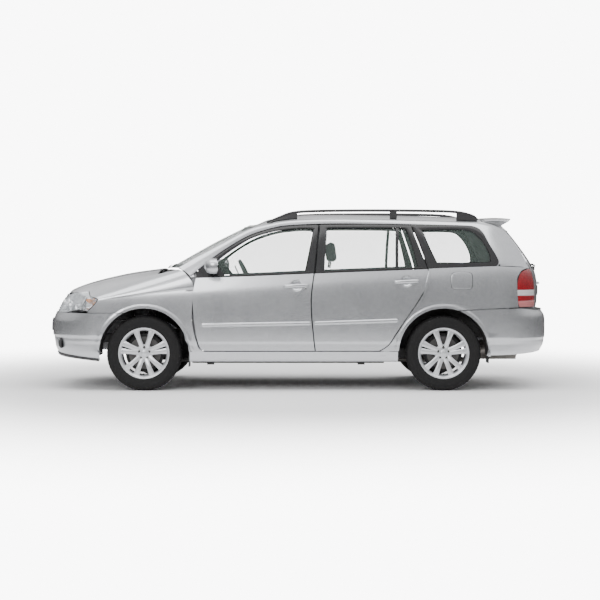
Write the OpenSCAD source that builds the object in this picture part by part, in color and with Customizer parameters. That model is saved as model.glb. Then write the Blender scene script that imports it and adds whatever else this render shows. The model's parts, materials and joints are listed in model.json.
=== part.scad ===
/* [Overall] */
// Distance between the front and rear axles
wheelbase = 2600; // [2100:10:3200]
// From the front axle to the foremost point of the bumper
front_overhang = 890; // [740:5:1070]
// From the rear axle to the rearmost point of the bumper
rear_overhang = 975; // [810:5:1170]
// Width over the doors, without the mirrors
body_width = 1710; // [1420:10:2060]
// Height over the roof rails
overall_height = 1588; // [1320:10:1910]

/* [Wheels] */
// Outer radius of the tyre
tyre_radius = 325; // [270:1:392]
// Width of the tyre
tyre_width = 205; // [170:1:246]
// Radius of the rim's flange
rim_radius = 222; // [185:1:250]
// Distance between the middles of the left and right tyres
track = 1484; // [1460:2:1560]
// Radius of the hub spindle on which a wheel turns
spindle_radius = 18; // [15:0.5:22]
// Running clearance round the spindle
spindle_clearance = 0.09; // [0.07:0.01:0.1]

/* [Panels] */
// Thickness of a door
door_thickness = 92; // [76:1:100]
// Thickness of the glass
glass_thickness = 5; // [4:0.1:6]
// Thickness of the roof, wings and bumpers with their inner skins
shell_thickness = 18; // [15:0.5:22]
// Gap between a door or lid and what is round it
panel_gap = 7; // [6:0.5:9]

/* [Fittings] */
// Diameter of a roof rail
rail_diameter = 30; // [25:0.5:36]
// Radius of the steering wheel
steering_radius = 185; // [155:1:200]
// Radius of the tow eye's hole
tow_eye_radius = 14; // [12:0.5:17]
// Side of a square jacking pad
jack_pad = 60; // [50:1:72]
// Height of a front seat's head restraint
headrest_height = 170; // [142:1:204]

/* [Hidden] */
silver = [0.76, 0.77, 0.78];
black = [0.12, 0.12, 0.13];
glass = [0.55, 0.66, 0.62, 0.6];
// The shape is written for these sizes, and at() carries it to the sizes set above.
drawn_axle = 1300;
drawn_hub_z = 325;
drawn_half_width = 855;
drawn_height = 1588;
drawn_front = 890;
drawn_rear = 975;
arch_radius = 390;
mid_shift = (front_overhang - rear_overhang) / 2;

function lerp(a, b, t) = a + (b - a) * t;
// From the drawn sizes to the sizes set, with x = 0 at the middle of the whole length.
function at_x(x) = mid_shift + (x < -drawn_axle
    ? -wheelbase / 2 + (x + drawn_axle) * front_overhang / drawn_front
    : x > drawn_axle ? wheelbase / 2 + (x - drawn_axle) * rear_overhang / drawn_rear
    : x * wheelbase / 2 / drawn_axle);
function at_z(z) = z < drawn_hub_z ? z * tyre_radius / drawn_hub_z
    : tyre_radius + (z - drawn_hub_z) * (overall_height - tyre_radius) / (drawn_height - drawn_hub_z);
function at(p) = [at_x(p.x), p.y * body_width / 2 / drawn_half_width, at_z(p.z)];

// A smooth value at x from a table of [x, value] rows
function row(t, x, i = 0) = i >= len(t) - 2 || x < t[i + 1][0] ? i : row(t, x, i + 1);
function grade(t, i) = let (a = max(i - 1, 0), b = min(i + 1, len(t) - 1))
    (t[b][1] - t[a][1]) / (t[b][0] - t[a][0]);
function curve(t, x) = let (i = row(t, x), h = t[i + 1][0] - t[i][0], s = (x - t[i][0]) / h)
    s < 0 ? t[0][1] + (x - t[0][0]) * grade(t, 0)
    : s > 1 ? t[i + 1][1] + (x - t[i + 1][0]) * grade(t, i + 1)
    : (1 + 2 * s) * (1 - s) * (1 - s) * t[i][1] + s * (1 - s) * (1 - s) * h * grade(t, i)
    + s * s * (3 - 2 * s) * t[i + 1][1] - s * s * (1 - s) * h * grade(t, i + 1);

// A smooth line through points, then n equal steps along it
function knot(p, i) = p[max(0, min(len(p) - 1, i))];
function through(p, t) = let (i = min(floor(t), len(p) - 2), s = t - i,
    a = knot(p, i - 1), b = p[i], c = p[i + 1], d = knot(p, i + 2))
    b + 0.5 * s * ((c - a) + s * (2 * a - 5 * b + 4 * c - d + s * (3 * b - 3 * c + d - a)));
function fine(p, k = 5) = len(p) == 2 ? p : [for (i = [0:(len(p) - 1) * k]) through(p, i / k)];
function sums(p, i = 0, acc = [0]) = i >= len(p) - 1 ? acc
    : sums(p, i + 1, concat(acc, [acc[i] + norm(p[i + 1] - p[i])]));
function place(s, t, i = 0) = i >= len(s) - 2 || t < s[i + 1] ? i : place(s, t, i + 1);
function steps(p, n) = let (d = fine(p), s = sums(d), whole = s[len(s) - 1])
    [for (i = [0:n]) let (t = whole * i / n, j = place(s, t))
        lerp(d[j], d[j + 1], (t - s[j]) / (s[j + 1] - s[j]))];
function join(a, b) = concat(a, [for (i = [1:len(b) - 1]) b[i]]);
function turned(p) = [for (i = [len(p) - 1:-1:0]) p[i]];
// A patch filled between a bottom, top, left and right line
function fill(b, t, l, r) = let (n = len(b) - 1, m = len(l) - 1)
    [for (i = [0:n]) [for (j = [0:m]) let (u = i / n, v = j / m)
        (1 - v) * b[i] + v * t[i] + (1 - u) * l[j] + u * r[j]
        - ((1 - u) * (1 - v) * b[0] + u * (1 - v) * b[n] + (1 - u) * v * t[0] + u * v * t[n])]];
function ribbon(a, b, n) = [for (i = [0:len(a) - 1]) [for (j = [0:n]) lerp(a[i], b[i], j / n)]];

// A closed solid between an outer and an inner grid of points, in drawn sizes
module skin(outer, inner, ring = false) {
    n = len(outer);
    m = len(outer[0]);
    k = n * m;
    function id(i, j) = (i % n) * m + j;
    p = floor((n - 1) / 2);
    q = floor((m - 1) / 2);
    way = cross(outer[p + 1][q] - outer[p][q], outer[p][q + 1] - outer[p][q])
        * (outer[p][q] - inner[p][q]);
    last = ring ? n - 1 : n - 2;
    faces = concat(
        [for (i = [0:last]) for (j = [0:m - 2]) each [
            [id(i, j), id(i, j + 1), id(i + 1, j + 1)], [id(i, j), id(i + 1, j + 1), id(i + 1, j)],
            [k + id(i, j), k + id(i + 1, j), k + id(i + 1, j + 1)],
            [k + id(i, j), k + id(i + 1, j + 1), k + id(i, j + 1)]]],
        [for (i = [0:last]) each [
            [id(i, 0), id(i + 1, 0), k + id(i + 1, 0)], [id(i, 0), k + id(i + 1, 0), k + id(i, 0)],
            [id(i + 1, m - 1), id(i, m - 1), k + id(i, m - 1)],
            [id(i + 1, m - 1), k + id(i, m - 1), k + id(i + 1, m - 1)]]],
        ring ? [] : [for (j = [0:m - 2]) each [
            [id(0, j + 1), id(0, j), k + id(0, j)], [id(0, j + 1), k + id(0, j), k + id(0, j + 1)],
            [id(n - 1, j), id(n - 1, j + 1), k + id(n - 1, j + 1)],
            [id(n - 1, j), k + id(n - 1, j + 1), k + id(n - 1, j)]]]);
    points = [for (g = [outer, inner]) for (r = g) for (v = r) at(v)];
    polyhedron(points, way > 0 ? faces : [for (f = faces) [f[2], f[1], f[0]]], convexity = 8);
}
function normal(g, i, j) = let (n = len(g) - 1, m = len(g[0]) - 1,
    c = cross(g[min(i + 1, n)][j] - g[max(i - 1, 0)][j], g[i][min(j + 1, m)] - g[i][max(j - 1, 0)]))
    c / norm(c);
// The grid moved inwards by t, towards the middle of the car
function sunk(g, t) = let (i = floor(len(g) / 2), j = floor(len(g[0]) / 2),
    s = normal(g, i, j) * ([0, 0, 700] - g[i][j]) > 0 ? t : -t)
    [for (i = [0:len(g) - 1]) [for (j = [0:len(g[0]) - 1]) g[i][j] + normal(g, i, j) * s]];
module panel(g, thickness = shell_thickness) skin(g, sunk(g, thickness));
module block(g, push) skin(g, [for (r = g) [for (p = r) p + push]]);
// Welds its children into one solid
module joined() resize([0, 0, 0]) union() children();
// A round bar from p, along y or along x
module bar_y(p, r, h) translate(at(p)) rotate([-90, 0, 0]) cylinder(r = r, h = h, $fn = 48);
module bar_x(p, r, h) translate(at(p)) rotate([0, 90, 0]) cylinder(r = r, h = h, $fn = 48);
module pair() {
    children();
    mirror([0, 1, 0]) children();
}
module left_side() mirror([0, 1, 0]) children();
module box(a, b) translate(at(a)) cube(at(b) - at(a));

// ---- Shape of the body ----
function soft_min(a, b, k) = (a + b - sqrt((a - b) * (a - b) + k * k)) / 2;
nose_line = [[300, -2140], [380, -2175], [500, -2190], [600, -2184], [672, -2160], [752, -2128],
    [829, -2073], [870, -2017]];
nose_power = [[600, 2.8], [700, 2.4], [800, 1.9], [870, 1.5]];
bumper_tail_line = [[300, 2215], [380, 2262], [440, 2272], [560, 2275], [640, 2268], [700, 2232]];
tail_line = [[690, 2200], [760, 2212], [850, 2216], [940, 2214], [1017, 2200], [1085, 2172],
    [1155, 2131], [1302, 2020], [1400, 1940], [1480, 1868]];
corner_start = 1690;
tail_power = 3.5;
tail_side_power = 2.5;
function crease_z(x) = 864 + (x + 864) * 0.0524;
function flank(x, z) = soft_min(855 - 0.000096 * (z - 640) * (z - 640)
    - (z < 342 ? 25 * pow((342 - z) / 92, 2) : 0), 850 - 0.25 * (z - crease_z(x)), 8);
function nose_part(x, z) = x > -corner_start ? 1
    : pow(max(0, 1 - pow((x + corner_start) / (curve(nose_line, z) + corner_start), 2)),
        1 / curve(nose_power, max(z, 600)));
function tail_part(x, z, line) = x < corner_start ? 1
    : pow(max(0, 1 - pow((x - corner_start) / (curve(line, z) - corner_start), tail_power)),
        1 / tail_side_power);
function side_y(x, z, line = tail_line) = flank(x, z) * nose_part(x, z) * tail_part(x, z, line);
function on_side(g) = [for (r = g) [for (p = r) [p[0], side_y(p[0], p[1]), p[1]]]];
// The window line and the leaning side above it
belt = [[-905, 975], [-434, 991], [163, 1019], [1161, 1059], [1425, 1071], [1765, 1084]];
function window_y(x, z) = let (d = z - curve(belt, x))
    818 - 0.33 * d - 0.00026 * d * d - 0.00001 * (x - 300) * (x - 300);
function on_window(g, sink = 0) = [for (r = g) [for (p = r) [p[0], window_y(p[0], p[1]) - sink, p[1]]]];
// The roof
roof_line = [[-420, 1448], [-383, 1462], [-279, 1495], [-100, 1528], [100, 1546], [300, 1550],
    [700, 1546], [1100, 1538], [1600, 1520], [1700, 1512], [1900, 1490]];
roof_edge_y = 575;
function roof_z(x, y) = curve(roof_line, x) - 46 * pow(abs(y) / roof_edge_y, 2.4);
// The windscreen
screen_line = [[1040, -1180], [1070, -1127], [1132, -1019], [1217, -871], [1299, -723], [1374, -575],
    [1447, -427], [1475, -365]];
function screen_x(y, z) = curve(screen_line, z) + 0.00024 * y * y;
// The bonnet: height on the middle line, half width, and height at its side edge
bonnet_line = [[-2073, 829], [-2017, 870], [-1906, 916], [-1758, 959], [-1611, 994], [-1463, 1023],
    [-1315, 1044], [-1190, 1060]];
bonnet_half = [[-2060, 480], [-1950, 560], [-1789, 620], [-1558, 665], [-1375, 690], [-1184, 715]];
bonnet_edge = [[-2060, 790], [-1950, 822], [-1789, 859], [-1707, 887], [-1558, 921], [-1375, 966],
    [-1184, 1011], [-1000, 1055]];
function bonnet_z(x, y) = let (c = curve(bonnet_line, x), e = curve(bonnet_edge, x))
    c - (c - e) * pow(abs(y) / curve(bonnet_half, x), 2.3);
// A section of the front wing from the bonnet's edge over the shoulder
function wing_top(x, t) = let (y0 = curve(bonnet_half, x) + panel_gap, z0 = curve(bonnet_edge, x),
    y2 = side_y(x, 800), z2 = min(z0 - 40, 790 + (x + 1690) * 0.12),
    z1 = z0 - 0.3 * (y2 - y0), a = [y0, z0], b = [y2, z1], c = [y2, z2])
    (1 - t) * (1 - t) * a + 2 * t * (1 - t) * b + t * t * c;

// ---- Outlines of the side, as [x, z] ----
function arch(x, from, to, n = 8) = [for (i = [0:n]) let (a = lerp(from, to, i / n))
    [x + arch_radius * cos(a), drawn_hub_z + arch_radius * sin(a)]];
sill_top = 343;
door_front = [[-764, sill_top + 4], [-812, 372], [-850, 516], [-872, 715], [-872, 859], [-848, 978]];
door_split = [[185, sill_top + 4], [169, 483], [154, 660], [152, 825], [176, 1016]];
door_back = [[738, sill_top + 4], [815, 395], [882, 494], [970, 627], [1069, 770], [1158, 924],
    [1168, 1001], [1161, 1054]];
function moved(p, d) = [for (q = p) q + [d, 0]];
function on_belt(a, b, n, up = -4) = [for (i = [0:n]) let (x = lerp(a, b, i / n)) [x, curve(belt, x) + up]];
front_frame_out = [[-848, 976], [-836, 1036], [-719, 1132], [-557, 1247], [-379, 1348], [-175, 1411],
    [8, 1435], [130, 1440], [210, 1440], [211, 1400], [194, 1220], [174, 1010]];
front_frame_in = [[-598, 996], [-640, 1050], [-682, 1108], [-550, 1222], [-372, 1320], [-172, 1384],
    [4, 1408], [110, 1412], [168, 1404], [170, 1380], [135, 1200], [94, 1000]];
rear_frame_out = [[190, 1010], [209, 1220], [229, 1400], [231, 1441], [330, 1445], [700, 1447],
    [960, 1441], [1028, 1438], [1038, 1405], [1090, 1260], [1140, 1120], [1158, 1050]];
rear_frame_in = [[265, 1010], [276, 1200], [288, 1385], [296, 1410], [335, 1416], [700, 1416],
    [940, 1412], [985, 1402], [1000, 1370], [1040, 1240], [1072, 1110], [1083, 1045]];
quarter_out = [[1176, 1062], [1150, 1140], [1103, 1270], [1050, 1405], [1040, 1444], [1200, 1449],
    [1475, 1444], [1592, 1432], [1663, 1384], [1716, 1278], [1780, 1157], [1790, 1108],
    [1770, 1076], [1500, 1066], [1300, 1060]];
quarter_in = [[1250, 1112], [1225, 1165], [1180, 1270], [1140, 1370], [1124, 1394], [1200, 1400],
    [1450, 1402], [1545, 1390], [1600, 1355], [1662, 1280], [1708, 1185], [1712, 1140],
    [1695, 1113], [1480, 1112], [1310, 1112]];
// The painted band over the windows: its lower line, and its upper line with y
band_low = [[-900, 996], [-719, 1147], [-557, 1260], [-379, 1358], [-175, 1421], [8, 1445],
    [414, 1457], [1131, 1447], [1475, 1440], [1589, 1428], [1655, 1382], [1708, 1278],
    [1772, 1159], [1784, 1112], [1765, 1080]];
band_high = [[-1004, 758, 1067], [-800, 715, 1188], [-610, 668, 1296], [-394, 622, 1409],
    [-210, 600, 1456], [0, 592, 1488], [414, 590, 1500], [1131, 584, 1491], [1475, 582, 1478],
    [1660, 584, 1468], [1800, 592, 1425], [1888, 604, 1355], [1995, 652, 1189], [2035, 680, 1112],
    [2060, 696, 1068]];

module fuel_flap_hole(grow = 0) translate(at([1365 - grow, 0, 880 - grow]))
    cube([at_x(1548 + grow) - at_x(1365 - grow), body_width, at_z(1026 + grow) - at_z(880 - grow)]);

module quarter_panel() {
    lower = join(steps([[750, sill_top], [905, sill_top]], 2), join(arch(drawn_axle, 176, 72.5, 9),
        steps([[1418, 697], [1700, 712], [1955, 722]], 5)));
    upper = join(steps([[1170, 1058], [1300, 1064], [1765, 1080]], 11),
        steps([[1765, 1080], [2060, 1068]], 5));
    front = moved(door_back, panel_gap + 5);
    rear = steps([[1955, 722], [1945, 769], [1939, 956], [1958, 1010], [1990, 1046], [2060, 1068]], 8);
    g = on_side(fill(lower, upper, steps(concat([[750, sill_top]], [for (i = [1:7]) front[i]]), 8), rear));
    panel(g);
}
module window_band() {
    low = [for (p = band_low) [p[0], window_y(p[0], p[1]) + 3, p[1]]];
    g = [for (i = [0:len(low) - 1]) let (a = low[i], c = band_high[i])
        [a, (a + c) / 2 + [0, 9, 7], c]];
    // thinner towards the windscreen, roof and tailgate
    skin(g, [for (r = g) [r[0] - [0, 30, 0], r[1] - [0, 28, 10], r[2] - [0, 0, 9]]]);
}
module quarter_frame() {
    g = ribbon(quarter_out, quarter_in, 1);
    skin(on_window(g), on_window(g, 32), true);
}
module sill() translate([at_x(-903), 0, 0]) rotate([90, 0, 90]) linear_extrude(at_x(903) - at_x(-903))
    polygon([for (p = [[838, 337], [819, 251], [705, 251], [705, 420], [738, 420], [738, 337]])
        [p[0] * body_width / 2 / drawn_half_width, at_z(p[1])]]);
// A wall from levels of [z, first x, last x, outer y, inner y]
module wall(levels) skin([for (l = levels) [[l[1], l[3], l[0]], [l[2], l[3], l[0]]]],
    [for (l = levels) [[l[1], l[4], l[0]], [l[2], l[4], l[0]]]]);
module side_of_body() joined() {
    quarter_panel();
    window_band();
    quarter_frame();
    sill();
    // the post between the doors
    wall([[300, 140, 250, 735, 690], [1000, 140, 250, 735, 690], [1240, 165, 255, 684, 648],
        [1440, 175, 275, 588, 560], [1471, 180, 280, 598, 563]]);
    // the jamb behind the rear door
    wall([[300, 745, 800, 832, 700], [395, 829, 867, 836, 700], [494, 896, 934, 838, 700],
        [627, 984, 1022, 840, 700], [770, 1083, 1130, 840, 700], [924, 1173, 1230, 836, 700],
        [1020, 1186, 1250, 810, 700]]);
    rear_post = ribbon([[1184, 1010], [1152, 1120], [1104, 1262], [1054, 1400], [1046, 1440]],
        [[1240, 1010], [1225, 1120], [1180, 1262], [1140, 1370], [1130, 1440]], 1);
    skin(on_window(rear_post, 26), on_window(rear_post, 66));
    // the front hinge wall
    wall([[300, -890, -800, 745, 700], [900, -890, -830, 745, 700], [1012, -900, -850, 742, 700]]);
    wall([[985, -900, -868, 778, 700], [1030, -930, -880, 772, 720]]);
    for (z = door_hinges) {
        hinge_arm(front_hinge_x, z, 735);
        hinge_arm(rear_hinge_x, z, 725);
    }
}
// A door hinge: the fixed arm with the lower half of its barrel, and the upper half on the door
door_hinges = [480, 800];
front_hinge_x = -834;
rear_hinge_x = 202;
hinge_y = 838;
barrel = 6;
hinge_half = 22;
module hinge_arm(x, z, wall_y) {
    translate(at([x, hinge_y, z])) translate([0, 0, -hinge_half])
        cylinder(r = barrel, h = hinge_half - 0.4, $fn = 32);
    hull() {
        translate(at([x, hinge_y - 2, z])) translate([-4, 0, -hinge_half]) cube([8, 2, hinge_half - 0.4]);
        translate(at([x - 4, wall_y, z])) translate([-12, 0, -hinge_half]) cube([24, 6, hinge_half - 0.4]);
    }
}
module hinge_leaf(x, z) {
    translate(at([x, hinge_y, z])) cylinder(r = barrel, h = hinge_half, $fn = 32);
    translate(at([x, hinge_y - 4, z])) cube([26, 8, hinge_half]);
}
module hinge_pocket(x, z) translate(at([x, hinge_y, z])) translate([-120, -160, -hinge_half - 4])
    cube([138, 160 + barrel + 2, 2 * hinge_half + 8]);
module body_sides() color(silver) {
    side_of_body();
    left_side() joined() difference() {
        side_of_body();
        intersection() {
            fuel_flap_hole(panel_gap / 2);
            translate([0, body_width / 2 - 60, 0]) cube([3000, 200, 3000]);
        }
    }
}
module fuel_flap() color(silver) left_side() joined() {
    // the flap turns on a pin along its front edge
    translate(at([1372, flank(1372, 953) - 7, 880])) translate([0, 0, -panel_gap / 2 + 0.3])
        cylinder(r = 3, h = at_z(1026) - at_z(880) + panel_gap - 0.6, $fn = 24);
    panel(on_side(fill(steps([[1365, 880], [1548, 880]], 4), steps([[1365, 1026], [1548, 1026]], 4),
        steps([[1365, 880], [1365, 1026]], 4), steps([[1548, 880], [1548, 1026]], 4))), 12);
}

module roof_panel() color(silver) {
    side_line = [[-394, 621], [-210, 599], [0, 591], [414, 589], [1131, 583], [1475, 581], [1660, 583]];
    g = [for (i = [0:14]) [for (j = [-5:5]) let (s = j / 5, x = lerp(screen_top(s)[0], 1664, i / 14),
        y = (curve(side_line, x) + 0.5) * s)
        i == 0 ? screen_top(s) + [1.8, 0, 0] : [x, y, roof_z(x, y)]]];
    joined() {
        panel(g, 26);
        // the fixed halves of the tailgate's hinges
        for (y = tailgate_hinges) {
            bar_y([tailgate_hinge_x, y - 20, tailgate_hinge_z], tailgate_barrel, 20);
            translate(at([1650, y, tailgate_hinge_z - 5])) translate([0, -20, 0]) cube([30, 20, 8]);
        }
    }
}
tailgate_hinges = [-220, 240];
tailgate_hinge_x = 1680;
tailgate_hinge_z = 1505;
tailgate_barrel = 5;
screen_half_top = 586;
function screen_top(s) = let (y = screen_half_top * s) [screen_x(y, 1454), y, 1454 - 26 * s * s];
module front_wing() {
    // u runs rearwards along the wing, v runs down over the shoulder and the side
    front_x = [[0, -1788], [0.25, -1745], [0.45, -1700], [0.7, -1778], [1, -1752]];
    back_x = [[0, -1035], [0.2, -950], [0.45, -886], [0.7, -883], [1, -883]];
    shoulder = 0.4;
    g = [for (i = [0:16]) [for (j = [0:12]) let (v = j / 12,
        x = lerp(curve(front_x, v), curve(back_x, v), i / 16),
        s = wing_top(x, min(1, v / shoulder)),
        dx = abs(x + drawn_axle),
        arch_z = dx < arch_radius ? drawn_hub_z + sqrt(arch_radius * arch_radius - dx * dx) : drawn_hub_z,
        low = x < -1480 ? max(arch_z, bumper_top + 1.5) : max(arch_z, 337.6),
        z = v <= shoulder ? s[1] : lerp(s[1], low, (v - shoulder) / (1 - shoulder)))
        [x, v <= shoulder ? s[0] : side_y(x, z), z]]];
    panel(g, 12);
}
module front_fenders() color(silver) pair() front_wing();

// Half of the plan curve round the nose or tail, from the middle (t = 0) to the straight side
function round_nose(t, z) = let (w = flank(-corner_start, z), n = curve(nose_power, max(z, 600)))
    [-corner_start + (curve(nose_line, z) + corner_start) * cos(90 * t), w * pow(sin(90 * t), 2 / n)];
function round_tail(t, z, line) = let (w = flank(corner_start, z))
    [corner_start + (curve(line, z) - corner_start) * pow(cos(90 * t), 2 / tail_power),
        w * pow(sin(90 * t), 2 / tail_side_power)];
bumper_top = 672;
function bumper_low(t) = 316 - 62 * t * t;
// Half the width of a wheel arch at height z
function arch_reach(z) = sqrt(max(0, pow(arch_radius, 2) - pow(z - drawn_hub_z, 2)));
module front_bumper() color(silver) joined() difference() {
    panel([for (i = [-16:16]) [for (j = [0:7]) let (t = abs(i) / 16, nose = 0.82,
        z = lerp(bumper_low(t), bumper_top, j / 7), s = i < 0 ? -1 : 1,
        x = lerp(-corner_start, min(-arch_reach(z) - drawn_axle, -1484), (t - nose) / (1 - nose)),
        p = t < nose ? round_nose(t / nose, z) : [x, side_y(x, z)])
        [p[0], s * p[1], z]]], 22);
    // the air intake, and the hollows of the fog lamps
    translate(at([-2300, -430, 372])) cube(at([-1900, 430, 462]) - at([-2300, -430, 372]));
    pair() translate(at([-2300, 545, 362])) cube(at([-1900, 665, 450]) - at([-2300, 545, 362]));
}
module rear_bumper() color(silver) joined()
    panel([for (i = [-16:16]) [for (j = [0:7]) let (t = abs(i) / 16, tail = 0.78, s = i < 0 ? -1 : 1,
        top = curve([[0, 690], [0.4, 700], [0.62, 716], [0.78, 706], [1, 691]], t),
        z = lerp(330 - 40 * t * t, top, j / 7),
        x = lerp(corner_start, max(arch_reach(z) + drawn_axle, 1440), (t - tail) / (1 - tail)),
        p = t < tail ? round_tail(t / tail, z, bumper_tail_line) : [x, side_y(x, z, bumper_tail_line)])
        [p[0], s * p[1], z]]], 22);

module grille() color(black)
    panel([for (i = [-6:6]) [for (j = [0:4]) let (z = lerp(bumper_top - 2.6, 820, j / 4), y = 430 * i / 6,
        n = curve(nose_power, z), w = flank(-corner_start, z),
        x = -corner_start + (curve(nose_line, z) + corner_start) * pow(1 - pow(abs(y) / w, n), 0.5))
        [x + 10, y, z]]], 26);
function nose_x(y, z) = -corner_start + (curve(nose_line, z) + corner_start)
    * pow(max(0, 1 - pow(abs(y) / flank(-corner_start, z), curve(nose_power, max(z, 600)))), 0.5);
module head_lamp() {
    // from the inner end by the grille to the pointed outer end on the wing
    stations = [[445, 672.6, 812], [520, 672.6, 836], [600, 672.6, 848], [680, 676, 846], [745, 690, 832],
        [795, 702, 818]];
    g = [for (s = stations) [for (j = [0:4]) let (z = lerp(s[1], s[2], j / 4)) [nose_x(s[0], z), s[0], z]]];
    block(g, [34, -12, 0]);
}
module head_lamps() color([0.85, 0.87, 0.88]) {
    pair() head_lamp();
    // the fog lamps fill their hollows in the bumper
    pair() block([for (i = [0:3]) [for (j = [0:3])
        let (y = lerp(545.5, 664.5, i / 3), z = lerp(362.5, 449.5, j / 3))
        [nose_x(y, z) + 8, y, z]]], [26, 0, 0]);
}
module tail_lamp() {
    g = [for (i = [0:8]) [for (j = [0:8]) let (v = j / 8, z = lerp(724, 1056, v),
        front = curve([[0, 1960], [0.12, 1948], [0.6, 1942], [0.82, 1960], [0.94, 1992], [1, 2052]], v),
        y0 = side_y(front, z), y1 = lerp(652, 676, v), y = lerp(y0, y1, i / 8),
        w = flank(corner_start, z),
        x = corner_start + (curve(tail_line, z) - corner_start) * pow(max(0, 1 - pow(y / w, 2.5)), 1 / 3.5))
        [x, y, z]]];
    skin(g, [for (i = [0:8]) [for (j = [0:8]) g[i][j] - [28 * i / 8, 40 * (1 - i / 8), 0]]]);
}
module tail_lamps() color([0.65, 0.05, 0.06]) pair() tail_lamp();

// ---- Glass ----
module windscreen() color(glass)
    panel([for (i = [-6:6]) [for (j = [0:8]) let (z = lerp(1072, 1454, j / 8),
        side = lerp(726, screen_half_top, j / 8), y = side * i / 6)
        [screen_x(y, z), y, z - 26 * pow(abs(i) / 6, 2) * (j / 8)]]],
        glass_thickness);
module quarter_windows() color(glass) pair() {
    top = steps([[1133.4, 1389], [1200, 1396], [1450, 1399], [1540, 1387], [1596, 1351], [1658, 1277],
        [1704, 1184]], 8);
    bottom = steps([[1252.4, 1113.4], [1310, 1113.4], [1480, 1114], [1693, 1115]], 8);
    g = fill(bottom, top, steps([[1252.4, 1113.4], [1228.4, 1166], [1185.4, 1270], [1133.4, 1389]], 4),
        steps([[1693, 1115], [1708, 1140], [1704, 1184]], 4));
    skin(on_window(g, 8), on_window(g, 8 + glass_thickness));
}

// ---- Doors ----
module door_panel(bottom, top, front, rear) {
    n = len(bottom) - 1;
    m = len(front) - 1;
    g = fill(bottom, top, front, rear);
    inner = [for (i = [0:n]) [for (j = [0:m]) let (u = lerp(0.02, 0.98, i / n), v = j / m,
        a = lerp(g[i][j], g[min(n, max(0, i + (i < n / 2 ? 1 : -1)))][j], 0.18))
        [a[0], side_y(a[0], a[1]) - door_thickness * (1 - 0.35 * v), a[1]]]];
    skin(on_side(g), inner);
}
module door_handle(x, z) translate(at([x, flank(x, z) + 9, z])) rotate([0, 90, 0])
    scale([1, 0.7, 1]) cylinder(r = 18, h = 210, center = true, $fn = 32);
module front_door() joined() {
    for (z = door_hinges) hinge_leaf(front_hinge_x, z);
    difference() {
        front_door_shape();
        for (z = door_hinges) hinge_pocket(front_hinge_x, z);
    }
}
module front_door_shape() {
    door_panel(steps([[-764, 347], [178, 347]], 8), on_belt(-848, 174, 8, 1), steps(door_front, 8),
        steps(moved(door_split, -4), 8));
    g = ribbon(front_frame_out, front_frame_in, 1);
    skin(on_window(g), on_window(g, 32));
    door_handle(21, 911);
}
module rear_door() joined() {
    for (z = door_hinges) hinge_leaf(rear_hinge_x, z);
    difference() {
        rear_door_shape();
        for (z = door_hinges) hinge_pocket(rear_hinge_x, z);
    }
}
module rear_door_shape() {
    door_panel(steps([[192, 347], [738, 347]], 8), on_belt(183, 1158, 8, 1), steps(moved(door_split, 6), 8),
        steps(door_back, 8));
    g = ribbon(rear_frame_out, rear_frame_in, 1);
    skin(on_window(g), on_window(g, 32));
    bar = ribbon([[884, 1040], [888, 1230], [896, 1420]], [[908, 1040], [913, 1230], [922, 1420]], 1);
    skin(on_window(bar, 2), on_window(bar, 26));
    door_handle(978, 947);
}
module front_door_left() color(silver) left_side() front_door();
module front_door_right() color(silver) front_door();
module rear_door_left() color(silver) left_side() rear_door();
module rear_door_right() color(silver) rear_door();
module pane(bottom, top, front, rear, n = 8) {
    g = fill(steps(bottom, n), steps(top, n), steps(front, 4), steps(rear, 4));
    skin(on_window(g, 12), on_window(g, 12 + glass_thickness));
}
module front_door_glass() color(glass) pane([[-595, 996.8], [92, 1020.8]], [[-678, 1107], [-550, 1217],
    [-373, 1314], [-173, 1378], [4, 1405], [108, 1409], [165, 1401]],
    [[-595, 996.8], [-637, 1050], [-678, 1107]], [[92, 1020.8], [133, 1200], [165, 1401]], 12);
module rear_door_glass() color(glass) {
    pane([[268, 1028.8], [883, 1052.8]], [[298, 1406], [335, 1412], [894, 1412]],
        [[268, 1028.8], [278, 1200], [298, 1406]], [[883, 1052.8], [887, 1230], [894, 1412]], 6);
    pane([[909.2, 1056], [1076, 1062]], [[922.8, 1409], [940, 1408], [981, 1399]],
        [[909.2, 1056], [914, 1230], [922.8, 1409]], [[1076, 1062], [1036, 1240], [981, 1399]], 4);
}
module front_door_glass_left() left_side() front_door_glass();
module front_door_glass_right() front_door_glass();
module rear_door_glass_left() left_side() rear_door_glass();
module rear_door_glass_right() rear_door_glass();
module door_mirror() color(silver) joined() {
    translate(at([-693, 935, 1081])) scale([0.62, 0.82, 0.62]) sphere(r = 108, $fn = 24);
    hull() {
        translate(at([-700, window_y(-700, 1030) + 7.4, 1038])) cube([70, 12, 16], center = true);
        translate(at([-693, 910, 1060])) cube([60, 12, 30], center = true);
    }
}
module door_mirror_left() left_side() door_mirror();
module door_mirror_right() door_mirror();

// ---- Bonnet, tailgate and spoiler ----
module bonnet() color(silver) joined() {
    panel([for (i = [0:12]) [for (j = [-7:7]) let (s = j / 7, front = -2066 + 190 * pow(abs(s), 2.6),
        x = lerp(front, -1194, i / 12), y = curve(bonnet_half, x) * s) [x, y, bonnet_z(x, y)]]], 14);
    for (y = bonnet_hinges) {
        bar_y([bonnet_hinge_x, y, bonnet_hinge_z], barrel, 20);
        translate(at([bonnet_hinge_x, y, bonnet_hinge_z])) translate([-14, 0, -4]) cube([18, 20, 26]);
    }
}
bonnet_hinges = [-270, 250];
bonnet_hinge_x = -1198;
bonnet_hinge_z = 1028;
function gate_half(z) = curve([[690, 640], [1060, 656], [1110, 668], [1189, 640], [1355, 592],
    [1500, 566]], z);
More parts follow.
